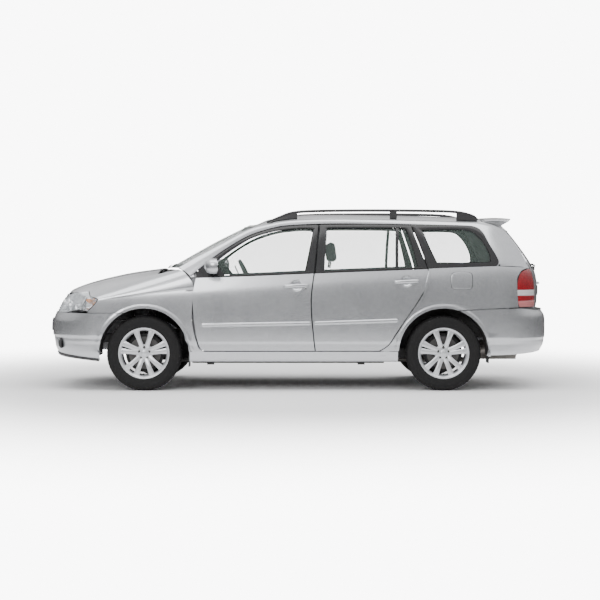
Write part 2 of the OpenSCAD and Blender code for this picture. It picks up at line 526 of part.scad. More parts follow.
// v runs down the tailgate: its middle line, and how roof-like or wall-like it is there
gate_line = [[1676, 1513], [1780, 1497], [1866, 1462], [1936, 1400], [2020, 1302], [2131, 1155],
    [2172, 1085], [2200, 1017], [2214, 940], [2216, 850], [2212, 760], [2200, 702]];
function gate_point(v, s) = let (p = through(gate_line, v), wall = min(1, v / 3), y = gate_half(p[1]) * s)
    [p[0] - wall * 0.00024 * y * y, y, p[1] - (1 - wall) * 46 * pow(abs(y) / roof_edge_y, 2.4)];
function gate_grid(v0, v1, s0, s1, n, m) = [for (i = [0:n]) [for (j = [0:m])
    gate_point(lerp(v0, v1, i / n), lerp(s0, s1, j / m))]];
module tailgate() color(silver) joined() {
    difference() {
        tailgate_shell();
        for (y = tailgate_hinges) translate(at([1660, y, 1470])) translate([0, -24, 0]) cube([26, 28, 80]);
    }
    for (y = tailgate_hinges) {
        bar_y([tailgate_hinge_x, y + 0.4, tailgate_hinge_z], tailgate_barrel, 16);
    }
}
module tailgate_shell() {
    panel(gate_grid(0, 3.1, -1, 1, 6, 10), 40);
    panel(gate_grid(6.2, 11, -1, 1, 8, 10), 60);
    pair() panel(gate_grid(2.9, 6.4, 0.86, 1, 6, 2), 40);
}
module tailgate_glass() color(glass) {
    g = gate_grid(3.125, 6.176, -0.856, 0.856, 6, 8);
    panel(sunk(g, 4), glass_thickness);
}
module rear_spoiler() color(silver) {
    low = [for (i = [0:6]) [for (j = [0:10]) gate_point(lerp(0.3, 2.35, i / 6), lerp(-0.97, 0.97, j / 10))
        + [0, 0, 1.6]]];
    top = [for (i = [0:6]) [for (j = [0:10]) let (t = i / 6, a = low[0][j], y = lerp(a[1], low[6][j][1], t),
        tip = 1980 - 0.00024 * y * y) [lerp(a[0], tip, t), y, a[2] + 5 + 12 * sin(140 * t) - 12 * t]]];
    skin(top, low);
}

// ---- Roof rails, flaps, cowl and wipers ----
rail_y = 548;
module roof_rails() color(black) pair() joined() {
    line = steps([[-130, rail_y, 1512], [60, rail_y, 1560], [300, rail_y, 1572], [700, rail_y, 1573],
        [1200, rail_y, 1569], [1450, rail_y, 1560], [1590, rail_y, 1512]], 24);
    for (i = [0:23]) hull() {
        translate(at(line[i])) sphere(d = rail_diameter, $fn = 8);
        translate(at(line[i + 1])) sphere(d = rail_diameter, $fn = 8);
    }
    for (x = [-40, 880, 1500]) rail_foot(x);
}
module rail_foot(x) let (low = max(roof_z(x - 75, rail_y - 14), roof_z(x + 75, rail_y - 14)) - 0.3)
    box([x - 75, rail_y - 14, low], [x + 75, rail_y + 14, 1560]);
module mud_flaps() color(black) pair() {
    box([-914, 700, 208], [-903.6, 818, 300]);
    box([1689, 640, 236], [1699, 780, 304.5]);
}
liner_start = 590;
module wheel_arch_liner(x) translate([at_x(x), at([0, liner_start, 0]).y, tyre_radius]) rotate([-90, 0, 0])
    difference() {
        depth = at([0, 812 - liner_start, 0]).y;
        cylinder(r = arch_radius + 4, h = depth, $fn = 96);
        translate([0, 0, -1]) cylinder(r = arch_radius - 2, h = depth + 2, $fn = 96);
        translate([-500, 20, -1]) cube([1000, 500, depth + 2]);
    }
module wheel_arch_liners() color(black) pair() {
    wheel_arch_liner(-drawn_axle);
    wheel_arch_liner(drawn_axle);
    // the rear wheels' inner walls stand on the load floor's edges
    intersection() {
        translate([at_x(drawn_axle), at([0, liner_start, 0]).y, tyre_radius]) rotate([-90, 0, 0])
            cylinder(r = arch_radius + 4, h = 5, $fn = 96);
        box([800, 500, 450], [1800, 700, 800]);
    }
}
cowl_start = -1170;
function cowl_z(x, y) = let (x1 = screen_x(y, 1066) - 12)
    lerp(bonnet_z(cowl_start, y) - 32, 1050 - 30 * pow(y / 690, 2),
        (x - cowl_start) / (x1 - cowl_start));
module cowl_panel() color(black) joined() {
    box([-1160, -100, 1012.4], [-1130, 100, 1038]);
    for (y = bonnet_hinges) {
        bar_y([bonnet_hinge_x, y - 20.4, bonnet_hinge_z], barrel, 20);
        translate(at([bonnet_hinge_x, y, bonnet_hinge_z])) translate([0, -20.4, -6]) cube([40, 20, 9]);
    }
    cowl_skin();
}
module cowl_skin()
    panel([for (i = [-6:6]) [for (j = [0:3]) let (y = 690 * i / 6, x0 = cowl_start, x1 = screen_x(y, 1066) - 12,
        x = lerp(x0, x1, j / 3)) [x, y, cowl_z(x, y)]]], 12);
function wiper_point(y, rise) = [screen_x(y, 1066 + rise) - 30, y, 1066 + rise];
module wipers() color(black) for (y = [-430, 150]) {
    pivot = wiper_point(y, 0);
    foot = cowl_z(pivot[0], y) + 3.8;
    hull() {
        translate(at(pivot)) sphere(r = 9, $fn = 16);
        translate(at(wiper_point(y + 230, 22))) sphere(r = 7, $fn = 16);
    }
    hull() {
        translate(at(wiper_point(y + 230, 22))) sphere(r = 7, $fn = 16);
        translate(at(wiper_point(y + 450, 34))) sphere(r = 5, $fn = 16);
    }
    translate(at([pivot[0], y, foot])) cylinder(r = 8, h = at_z(pivot[2]) - at_z(foot), $fn = 32);
}

// ---- Under the skin ----
module floor_pan() color([0.3, 0.3, 0.31]) {
    union() {
        box([-890, -704.6, 232], [790, 704.6, 252]);
        box([-1010, -540, 232], [-880, 540, 252]);
        box([-1010, -540, 232], [-990, 540, 1012]);
        box([-1094, -540, 1000], [-990, 540, 1012]);
        box([-1160, -110, 1000], [-1094, 110, 1012]);
        box([770, -690, 232], [790, 690, 470]);
        box([770, -540, 450], [2130, 540, 470]);
        box([940, -589.4, 450], [1660, 589.4, 470]);
        box([-2070, -450, 400], [-990, -390, 480]);
        box([-2070, 390, 400], [-990, 450, 480]);
        box([-2094, -470, 440], [-2060, 470, 500]);
        // strut towers
        for (s = [-1, 1]) {
            box([-1300, s > 0 ? 390 : -589.4, 780], [-1190, s > 0 ? 589.4 : -390, 792]);
            box([-1228, s > 0 ? 545 : -589.4, 698], [-1190, s > 0 ? 589.4 : -545, 792]);
            box([-1300, s > 0 ? 400 : -440, 470], [-1216, s > 0 ? 440 : -400, 785]);
        }
        for (y = [-705, 705 - jack_pad]) for (x = [-760, 560]) jacking_pad(x, y);
        difference() {
            box([2056, 376, 232], [2116, 388, 452]);
            translate(at([2086, 360, 262])) rotate([-90, 0, 0])
                cylinder(r = tow_eye_radius, h = 60, $fn = 64);
        }
    }
}
module jacking_pad(x, y) translate([at_x(x), at([0, y, 0]).y, at_z(232) - 14])
    cube([jack_pad, jack_pad, 20]);
steering_centre = [-410, -370, 973];
steering_tilt = 63;
dashboard_half = 699.4;
module dashboard() color(black) difference() {
    translate([0, at([0, dashboard_half, 0]).y, 0]) rotate([90, 0, 0])
        linear_extrude(2 * at([0, dashboard_half, 0]).y)
        polygon([for (p = [[-960, 1010], [-700, 1000], [-640, 930], [-660, 800], [-760, 620], [-960, 620]])
            [at_x(p[0]), at_z(p[1])]]);
    // the bore for the steering column
    translate(at(steering_centre)) rotate([0, steering_tilt, 0]) translate([0, 0, -330])
        cylinder(r = 24.5, h = 250, $fn = 48);
}
module steering_wheel() color(black) translate(at(steering_centre)) rotate([0, steering_tilt, 0]) {
    rotate_extrude($fn = 64) translate([steering_radius - 15, 0]) circle(r = 15, $fn = 24);
    for (a = [0, 120, 240]) rotate(a) translate([0, -16, -8]) cube([steering_radius - 18, 32, 16]);
    translate([0, 0, -30]) cylinder(r = 62, h = 50, $fn = 48);
    translate([0, 0, -320]) cylinder(r = 24, h = 292, $fn = 32);
}
module front_seat() {
    hull() {
        box([-330, 130, 330], [190, 610, 430]);
        box([-320, 160, 430], [180, 580, 480]);
    }
    hull() {
        box([130, 150, 440], [240, 590, 480]);
        box([270, 180, 960], [350, 560, 1010]);
    }
    translate(at([330, 370, 1009])) hull() {
        translate([-35, -125, 0]) cube([80, 250, 40]);
        translate([-25, -105, headrest_height - 30]) cube([70, 210, 30]);
    }
    box([-250, 180, 252], [150, 560, 330]);
}
module front_seats() color([0.33, 0.34, 0.35]) pair() joined() front_seat();
module rear_seat() color([0.33, 0.34, 0.35]) joined() {
    hull() {
        box([690, -545, 470.4], [1120, 545, 540]);
        box([700, -535, 540], [1110, 535, 580]);
    }
    hull() {
        box([1050, -545, 520], [1170, 545, 560]);
        box([1180, -540, 980], [1250, 540, 1010]);
    }
    for (y = [-380, 380]) hull() {
        box([1190, y - 120, 1000], [1260, y + 120, 1030]);
        box([1200, y - 100, 1130], [1255, y + 100, 1150]);
    }
}
module engine_block() color([0.45, 0.45, 0.46]) box([-1780, -300, 325.4], [-1330, 300, 790]);
module fuel_tank() color(black) box([800, -420, 260], [1120, 300, 449.6]);
module exhaust() color([0.5, 0.5, 0.5]) {
    bar_x([-950, 120, 207.6], 24, at_x(1640) - at_x(-950));
    bar_x([1640, 120, 300], 90, 420);
}
kingpin_in = 50;
kingpin = 12;
arm_low = 205;
arm_high = 225;
kingpin_y = track / 2 - kingpin_in;
module front_subframe() color(black) {
    box([-1420, -430, 250], [-1180, 430, 325]);
    pair() {
        box([-1400, 392, 325], [-1200, 432, 399.6]);
        difference() {
            union() {
                box([-1350, 430, arm_low], [-1250, 640, arm_high]);
                box([-1350, 430, arm_low], [-1250, 470, 300]);
                translate([at_x(-drawn_axle) - 20, at([0, 600, 0]).y, at_z(arm_low)])
                    cube([40, kingpin_y + 17 - at([0, 600, 0]).y, at_z(arm_high) - at_z(arm_low)]);
            }
            translate([at_x(-drawn_axle), kingpin_y, 0]) cylinder(r = kingpin + 0.3, h = 400, $fn = 48);
        }
        translate(at([-1258, 560, arm_high - 1]))
            cylinder(r = 22, h = at_z(779.6) - at_z(arm_high - 1), $fn = 48);
    }
    // drive shafts
    pair() bar_y([-drawn_axle, 430, drawn_hub_z], 14, 216);
}
module rear_axle_beam() color(black) {
    hub = track / 2 - 72;
    translate([at_x(drawn_axle), -hub, tyre_radius]) rotate([-90, 0, 0])
        cylinder(r = 40, h = 2 * hub, $fn = 48);
    for (y = [hub, -hub - 120]) translate([at_x(drawn_axle), y, tyre_radius]) rotate([-90, 0, 0])
        cylinder(r = spindle_radius, h = 120, $fn = 48);
    for (y = [-510, 470]) {
        box([860, y, 295], [1300, y + 40, 350]);
        box([860, y, 295], [890, y + 40, 449.6]);
    }
}

// ---- Wheels ----
module knuckle() translate([at_x(-drawn_axle), track / 2, tyre_radius]) {
    rotate([-90, 0, 0]) translate([0, 0, -75]) cylinder(r = 50, h = 49, $fn = 48);
    rotate([-90, 0, 0]) translate([0, 0, -60]) cylinder(r = spindle_radius, h = 108, $fn = 48);
    low = at_z(arm_high) + 0.4 - tyre_radius;
    translate([-18, -kingpin_in - 16, low]) cube([36, 32, 100 - low]);
    translate([0, -kingpin_in, at_z(arm_low) - tyre_radius - 4]) cylinder(r = kingpin, h = 60, $fn = 48);
}
module front_knuckle_left() color(black) left_side() knuckle();
module front_knuckle_right() color(black) knuckle();
module tyre() {
    r = tyre_radius;
    w = tyre_width / 2;
    rotate([-90, 0, 0]) rotate_extrude($fn = 96) polygon([[rim_radius - 8, -w + 14],
        [rim_radius + 10, -w + 4], [rim_radius + 50, -w], [r - 35, -w + 2], [r - 10, -w + 14],
        [r, -w + 40], [r, w - 40], [r - 10, w - 14],
        [r - 35, w - 2], [rim_radius + 50, w], [rim_radius + 10, w - 4], [rim_radius - 8, w - 14]]);
}
module wheel() rotate([-90, 0, 0]) {
    w = tyre_width / 2;
    // rim barrel with its flanges, inside the tyre's beads
    rotate_extrude($fn = 96) polygon([[rim_radius - 9, w - 14], [rim_radius - 9, -w + 14],
        [rim_radius - 20, -w + 14],
        [rim_radius - 26, -40], [rim_radius - 26, w - 14]]);
    difference() {
        union() {
            translate([0, 0, 10]) cylinder(r = 80, h = 50, $fn = 64);
            for (k = [0:4]) rotate(90 + 72 * k) for (s = [-1, 1]) rotate(13 * s)
                translate([60, -14, 34]) cube([rim_radius - 78, 28, 34]);
        }
        translate([0, 0, -1]) cylinder(r = spindle_radius + spindle_clearance, h = 55, $fn = 48);
    }
    // brake disc and its bell
    difference() {
        union() {
            translate([0, 0, -20]) cylinder(r = 138, h = 22, $fn = 64);
            translate([0, 0, 0]) cylinder(r = 70, h = 12, $fn = 64);
        }
        translate([0, 0, -21]) cylinder(r = spindle_radius + spindle_clearance, h = 40, $fn = 48);
    }
}
module at_wheel(x) translate([at_x(x), track / 2, tyre_radius]) children();
module front_wheel_left() color(silver) left_side() at_wheel(-drawn_axle) wheel();
module front_wheel_right() color(silver) at_wheel(-drawn_axle) wheel();
module rear_wheel_left() color(silver) left_side() at_wheel(drawn_axle) wheel();
module rear_wheel_right() color(silver) at_wheel(drawn_axle) wheel();
module front_tyre_left() color(black) left_side() at_wheel(-drawn_axle) tyre();
module front_tyre_right() color(black) at_wheel(-drawn_axle) tyre();
module rear_tyre_left() color(black) left_side() at_wheel(drawn_axle) tyre();
module rear_tyre_right() color(black) at_wheel(drawn_axle) tyre();

floor_pan();
body_sides();
roof_panel();
front_fenders();
front_bumper();
rear_bumper();
grille();
head_lamps();
tail_lamps();
windscreen();
quarter_windows();
roof_rails();
mud_flaps();
wheel_arch_liners();
cowl_panel();
wipers();
dashboard();
steering_wheel();
front_seats();
rear_seat();
engine_block();
fuel_tank();
exhaust();
front_subframe();
rear_axle_beam();
fuel_flap();
bonnet();
tailgate();
tailgate_glass();
rear_spoiler();
front_door_left();
front_door_right();
rear_door_left();
rear_door_right();
front_door_glass_left();
front_door_glass_right();
rear_door_glass_left();
rear_door_glass_right();
door_mirror_left();
door_mirror_right();
front_knuckle_left();
front_knuckle_right();
front_wheel_left();
front_wheel_right();
rear_wheel_left();
rear_wheel_right();
front_tyre_left();
front_tyre_right();
rear_tyre_left();
rear_tyre_right();
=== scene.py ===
import json
import math
import bmesh
import bpy
import numpy as np
from mathutils import Matrix, Vector

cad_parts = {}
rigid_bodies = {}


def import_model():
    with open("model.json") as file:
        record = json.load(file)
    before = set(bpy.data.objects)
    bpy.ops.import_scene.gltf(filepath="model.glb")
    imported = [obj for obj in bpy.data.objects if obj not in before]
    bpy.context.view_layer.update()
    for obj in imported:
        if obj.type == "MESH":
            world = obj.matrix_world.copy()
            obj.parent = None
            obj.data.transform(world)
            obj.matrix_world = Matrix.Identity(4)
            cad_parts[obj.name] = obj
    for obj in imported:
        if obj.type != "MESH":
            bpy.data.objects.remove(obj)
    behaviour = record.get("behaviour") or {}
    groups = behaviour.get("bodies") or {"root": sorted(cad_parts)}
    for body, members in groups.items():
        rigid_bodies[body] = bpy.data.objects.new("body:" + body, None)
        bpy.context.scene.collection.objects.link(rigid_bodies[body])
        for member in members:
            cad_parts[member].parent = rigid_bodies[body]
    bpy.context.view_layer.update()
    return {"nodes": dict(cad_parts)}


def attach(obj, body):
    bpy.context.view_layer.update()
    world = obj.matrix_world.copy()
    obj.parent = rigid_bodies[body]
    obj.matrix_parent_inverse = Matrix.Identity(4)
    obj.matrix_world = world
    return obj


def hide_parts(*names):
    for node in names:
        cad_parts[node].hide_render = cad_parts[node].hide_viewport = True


for spare in list(bpy.data.objects):
    bpy.data.objects.remove(spare)
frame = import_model()
nodes = frame["nodes"]
print("frame loaded:", len(nodes), "nodes, quick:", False)

# numbers and lines

wagon = {
    "axle": 1300.0, "hubHeight": 325.0, "cornerStart": 1690.0, "shift": -42.5, "archRadius": 390.0,
    "gap": 7.0, "bumperTop": 672.0, "wheelY": 742.0, "halfWidth": 855.0, "screenFoot": 1072.0,
    "screenTop": 1454.0,
    "roofDrop": 46.0, "roofPower": 2.4, "glassBend": 0.00024, "tailAlong": 3.5, "tailAcross": 2.5,
    "lipHeight": 5.0, "lipWidth": 34.0, "screenHalfTop": 586.0, "roofEdge": 575.0, "railY": 548.0,
}


def mix(a, b, t):
    # a at t = 0, b at t = 1
    return a + (b - a) * t


def smooth(t):
    # 3t^2 - 2t^3 between 0 and 1
    t = np.clip(t, 0, 1)
    return t * t * (3 - 2 * t)


def curve(table, x):
    # cubic through the rows [x, value] of a table, straight beyond its ends
    t, x = np.asarray(table, float), np.asarray(x, float)
    px, pv, n = t[:, 0], t[:, 1], len(t)
    before, after = np.maximum(np.arange(n) - 1, 0), np.minimum(np.arange(n) + 1, n - 1)
    slope = (pv[after] - pv[before]) / (px[after] - px[before])
    i = np.clip(np.searchsorted(px, x, side="right") - 1, 0, n - 2)
    h = px[i + 1] - px[i]
    s = np.clip((x - px[i]) / h, 0, 1)
    inside = ((1 + 2 * s) * (1 - s) ** 2 * pv[i] + s * (1 - s) ** 2 * h * slope[i]
              + s * s * (3 - 2 * s) * pv[i + 1] - s * s * (1 - s) * h * slope[i + 1])
    return np.where(x < px[0], pv[0] + (x - px[0]) * slope[0],
                    np.where(x > px[-1], pv[-1] + (x - px[-1]) * slope[-1], inside))


def through(points, t):
    # Catmull-Rom line: points[i] at t = i
    p, t = np.asarray(points, float), np.asarray(t, float)
    i = np.clip(np.floor(t).astype(int), 0, len(p) - 2)
    s = (t - i)[..., None]
    a, b, c, d = p[np.maximum(i - 1, 0)], p[i], p[i + 1], p[np.minimum(i + 2, len(p) - 1)]
    return b + 0.5 * s * ((c - a) + s * (2 * a - 5 * b + 4 * c - d + s * (3 * b - 3 * c + d - a)))


def steps(points, n, straight=False):
    # n equal steps along the line through the points
    p = np.asarray(points, float)
    fine = p if len(p) == 2 or straight else through(p, np.linspace(0, len(p) - 1, (len(p) - 1) * 12 + 1))
    run = np.concatenate([[0], np.cumsum(np.linalg.norm(np.diff(fine, axis=0), axis=1))])
    at = np.linspace(0, run[-1], n + 1)
    return np.stack([np.interp(at, run, fine[:, k]) for k in range(p.shape[1])], -1)


def fill(bottom, top, left, right):
    # patch between four lines: (ruled one way) + (ruled the other) - (its corners blended)
    b, t, l, r = (np.asarray(q, float) for q in (bottom, top, left, right))
    u, v = np.linspace(0, 1, len(b))[:, None, None], np.linspace(0, 1, len(l))[None, :, None]
    corners = (1 - u) * (1 - v) * b[0] + u * (1 - v) * b[-1] + (1 - u) * v * t[0] + u * v * t[-1]
    return (1 - v) * b[:, None] + v * t[:, None] + (1 - u) * l[None] + u * r[None] - corners


def ribbon(a, b, n):
    # straight from line a to line b in n steps
    a, b = np.asarray(a, float), np.asarray(b, float)
    return mix(a[:, None], b[:, None], np.linspace(0, 1, n + 1)[None, :, None])


def grid(x, y, z):
    # points from three arrays or numbers, stretched to one shape
    return np.stack(np.broadcast_arrays(x, y, z), -1)


def normals(g):
    # unit cross product of the grid's two directions
    c = np.cross(np.gradient(g, axis=0), np.gradient(g, axis=1))
    return c / np.maximum(np.linalg.norm(c, axis=-1, keepdims=True), 1e-9)


def sunk(g, depth):
    # the grid moved inwards along its normals, towards the middle of the car
    n = normals(g)
    i, j = g.shape[0] // 2, g.shape[1] // 2
    middle = np.array([g[i, j, 0], 0, 700.0])
    return g + n * (depth if n[i, j] @ (middle - g[i, j]) > 0 else -depth)


# the shape of the body, in millimetres from the middle of the wheelbase

lines = {
    "nose": [[300, -2140], [380, -2175], [500, -2190], [600, -2184], [672, -2160], [752, -2128],
             [829, -2073], [870, -2017]],
    "nosePower": [[600, 2.8], [700, 2.4], [800, 1.9], [870, 1.5]],
    "bumperTail": [[300, 2215], [380, 2262], [440, 2272], [560, 2275], [640, 2268], [700, 2232]],
    "tail": [[690, 2200], [760, 2212], [850, 2216], [940, 2214], [1017, 2200], [1085, 2172],
             [1155, 2131], [1302, 2020], [1400, 1940], [1480, 1868]],
    "belt": [[-905, 975], [-434, 991], [163, 1019], [1161, 1059], [1425, 1071], [1765, 1084]],
    "roof": [[-420, 1448], [-383, 1462], [-279, 1495], [-100, 1528], [100, 1546], [300, 1550],
             [700, 1546], [1100, 1538], [1600, 1520], [1700, 1512], [1900, 1490]],
    "screen": [[1040, -1180], [1070, -1127], [1132, -1019], [1217, -871], [1299, -723], [1374, -575],
               [1447, -427], [1475, -365]],
    "bonnet": [[-2073, 829], [-2017, 870], [-1906, 916], [-1758, 959], [-1611, 994], [-1463, 1023],
               [-1315, 1044], [-1190, 1060]],
    "bonnetHalf": [[-2060, 480], [-1950, 560], [-1789, 620], [-1558, 665], [-1375, 690], [-1184, 715]],
    "bonnetEdge": [[-2060, 790], [-1950, 822], [-1789, 859], [-1707, 887], [-1558, 921], [-1375, 966],
                   [-1184, 1011], [-1000, 1055]],
    "gateHalf": [[690, 640], [1060, 656], [1110, 668], [1189, 640], [1355, 592], [1500, 566]],
    "roofSide": [[-394, 621], [-210, 599], [0, 591], [414, 589], [1131, 583], [1475, 581], [1660, 583]],
}


def softMin(a, b, k):
    # the lesser of two values, rounded over k where they meet
    return (a + b - np.sqrt((a - b) ** 2 + k * k)) / 2


flankShape = {
    "widestZ": 640, "bow": 0.000096, "tuckZ": 342, "tuckDepth": 25, "tuckHeight": 92,
    "creaseX": -864, "creaseZ": 864, "creaseRise": 0.0524, "shoulderY": 850, "shoulderSlope": 0.25,
    "rounding": 8,
    "stepZ": 409, "stepHeight": 12, "stepDepth": 3.5,
}


def flank(x, z):
    # half width: the widest less a parabola, cut above by the shoulder's slope and tucked in below
    f = flankShape
    crease = f["creaseZ"] + (x - f["creaseX"]) * f["creaseRise"]
    tuck = np.where(z < f["tuckZ"], f["tuckDepth"] * ((f["tuckZ"] - z) / f["tuckHeight"]) ** 2, 0)
    y = softMin(wagon["halfWidth"] - f["bow"] * (z - f["widestZ"]) ** 2 - tuck,
                f["shoulderY"] - f["shoulderSlope"] * (z - crease), f["rounding"])
    return y - f["stepDepth"] * (1 - smooth((z - f["stepZ"]) / f["stepHeight"]))


def lip(x, z):
    # raised band round each wheel arch: height falls smoothly with the distance from the hub
    r = np.minimum(np.hypot(x + wagon["axle"], z - wagon["hubHeight"]),
                   np.hypot(x - wagon["axle"], z - wagon["hubHeight"]))
    return wagon["lipHeight"] * (1 - smooth((r - wagon["archRadius"] - wagon["lipWidth"] + 8) / 8))


def nosePower(z):
    # the power of the nose's rounding in plan, from the table by height
    return curve(lines["nosePower"], np.maximum(z, 600))


def nosePart(x, z):
    # share of the half width left by the nose: (1 - f^2)^(1/power), f from 0 at the corner to 1 at the tip
    s = wagon["cornerStart"]
    f = np.clip((x + s) / (curve(lines["nose"], z) + s), 0, None)
    return np.where(x > -s, 1.0, np.clip(1 - f ** 2, 0, None) ** (1 / nosePower(z)))


def tailPart(x, z, line):
    # the same at the tail: (1 - f^3.5)^(1/2.5)
    s = wagon["cornerStart"]
    f = np.clip((x - s) / (curve(lines[line], z) - s), 0, None)
    return np.where(x < s, 1.0, np.clip(1 - f ** wagon["tailAlong"], 0, None) ** (1 / wagon["tailAcross"]))


def sideY(x, z, line="tail"):
    # half width with the rounded nose and tail, and the arch lips
    x, z = np.asarray(x, float), np.asarray(z, float)
    return flank(x, z) * nosePart(x, z) * tailPart(x, z, line) + lip(x, z)


def onSide(g, out=0.0):
    # (x, z) put on the side, out millimetres proud of it
    g = np.asarray(g, float)
    return np.stack([g[..., 0], sideY(g[..., 0], g[..., 1]) + out, g[..., 1]], -1)


sideGlass = {"beltY": 818, "lean": 0.33, "bow": 0.00026, "middleX": 300, "endBow": 0.00001}


def windowY(x, z):
    # the glass leans inwards more the higher it is above the belt: a line and a parabola of that height
    w = sideGlass
    d = z - curve(lines["belt"], x)
    return w["beltY"] - w["lean"] * d - w["bow"] * d * d - w["endBow"] * (x - w["middleX"]) ** 2


def onWindow(g, sink=0.0):
    # (x, z) put on the side glass, sunk by so much
    g = np.asarray(g, float)
    return np.stack([g[..., 0], windowY(g[..., 0], g[..., 1]) - sink, g[..., 1]], -1)


def roofZ(x, y):
    # middle line less drop times (|y| / edge)^2.4
    return curve(lines["roof"], x) - wagon["roofDrop"] * (np.abs(y) / wagon["roofEdge"]) ** wagon["roofPower"]


def screenX(y, z):
    # middle line and a parabola across
    return curve(lines["screen"], z) + wagon["glassBend"] * y * y


def bonnetZ(x, y):
    # from the middle line c down to the edge line e as (|y| / half)^2.3
    c, e = curve(lines["bonnet"], x), curve(lines["bonnetEdge"], x)
    return c - (c - e) * (np.abs(y) / curve(lines["bonnetHalf"], x)) ** 2.3


def wingTop(x, t):
    # quadratic arc from the bonnet's edge over the shoulder to the side, as (y, z)
    y0, z0 = curve(lines["bonnetHalf"], x) + wagon["gap"], curve(lines["bonnetEdge"], x)
    y2 = sideY(x, 800 + 0 * x)
    z2 = np.minimum(z0 - 40, 790 + (x + 1690) * 0.12)
    z1 = z0 - 0.3 * (y2 - y0)
    a, b, c = np.stack([y0, z0]), np.stack([y2, z1]), np.stack([y2, z2])
    return (1 - t) ** 2 * a + 2 * t * (1 - t) * b + t * t * c


def noseX(y, z):
    # nosePart turned round: x on the nose from the share of the half width
    s = wagon["cornerStart"]
    bite = 1 - (np.abs(y) / flank(-s, z)) ** nosePower(z)
    return -s + (curve(lines["nose"], z) + s) * np.sqrt(np.clip(bite, 0, None))


def tailX(y, z, line="tail"):
    # tailPart turned round: x on the tail from the share of the half width
    s = wagon["cornerStart"]
    bite = 1 - (np.abs(y) / flank(s, z)) ** wagon["tailAcross"]
    return s + (curve(lines[line], z) - s) * np.clip(bite, 0, None) ** (1 / wagon["tailAlong"])


gateLine = [[1676, 1513], [1780, 1497], [1866, 1462], [1936, 1400], [2020, 1302], [2131, 1155],
            [2172, 1085], [2200, 1017], [2214, 940], [2216, 850], [2212, 760], [2200, 702]]


def gatePoint(v, s):
    # v runs down the tailgate's middle line, s from side to side
    v, s = np.broadcast_arrays(np.asarray(v, float), np.asarray(s, float))
    p = through(gateLine, v)
    wall = np.minimum(1, v / 3)
    y = curve(lines["gateHalf"], p[..., 1]) * s
    crown = (np.abs(y) / wagon["roofEdge"]) ** wagon["roofPower"]
    return np.stack([p[..., 0] - wall * wagon["glassBend"] * y * y, y,
                     p[..., 1] - (1 - wall) * wagon["roofDrop"] * crown], -1)


def gateGrid(v0, v1, s0, s1, n, m):
    return gatePoint(np.linspace(v0, v1, n + 1)[:, None], np.linspace(s0, s1, m + 1)[None])


def arch(x, start, end, n=40):
    # circle about the hub at x, from one angle to another
    a, r = np.radians(np.linspace(start, end, n + 1)), wagon["archRadius"]
    return np.stack([x + r * np.cos(a), wagon["hubHeight"] + r * np.sin(a)], -1)


# forms: (points, faces, number of the material)

def gridFaces(n, m, aroundU=False, aroundV=False):
    i, j = np.arange(n if aroundU else n - 1)[:, None], np.arange(m if aroundV else m - 1)[None]
    a, b = i * m + j, (i + 1) % n * m + j
    c, d = (i + 1) % n * m + (j + 1) % m, i * m + (j + 1) % m
    return np.stack([a, b, c, d], -1).reshape(-1, 4)


def volume(points, faces):
    a, b, c, d = (points[faces[:, k]] for k in range(4))
    return (np.einsum("ij,ij->i", a, np.cross(b, c)) + np.einsum("ij,ij->i", a, np.cross(c, d))).sum()


def closed(points, faces, look=0):
    # a closed form, turned so that its faces point outwards
    p = points.reshape(-1, 3)
    return (p, faces if volume(p - p.mean(0), faces) > 0 else faces[:, ::-1], look)


def shell(outer, inner, look=0, ring=False):
    # two grids and the walls between their edges
    n, m = outer.shape[:2]
    k = n * m
    front = gridFaces(n, m, ring)
    back = front[:, ::-1] + k
    i = np.arange(n if ring else n - 1)
    after = (i + 1) % n
    low = np.stack([i * m, i * m + k, after * m + k, after * m], -1)
    high = np.stack([i * m + m - 1, after * m + m - 1, after * m + m - 1 + k, i * m + m - 1 + k], -1)
    walls = [front, back, low, high]
    if not ring:
        j = np.arange(m - 1)
        start, end = j, (n - 1) * m + j
        walls.append(np.stack([start, start + 1, start + 1 + k, start + k], -1))
        walls.append(np.stack([end, end + k, end + 1 + k, end + 1], -1))
    return closed(np.concatenate([outer.reshape(-1, 3), inner.reshape(-1, 3)]), np.concatenate(walls), look)


def panel(g, depth=12.0, look=0):
    return shell(g, sunk(g, depth), look)


def pushed(g, move, look=0):
    return shell(g, g + np.asarray(move, float), look)


def lathe(profile, centre, n=96, look=0, axis="y"):
    # a closed profile of (radius, height) turned about an axis through the centre
    p, a = np.asarray(profile, float), np.linspace(0, 2 * math.pi, n, endpoint=False)[:, None]
    r, h = p[None, :, 0], p[None, :, 1] + 0 * a
    round1, round2 = r * np.cos(a), r * np.sin(a)
    order = {"y": (round1, h, round2), "z": (round1, round2, h), "x": (h, round1, round2)}[axis]
    g = np.stack(order, -1) + np.asarray(centre, float)
    return closed(g, gridFaces(n, len(p), True, True), look)


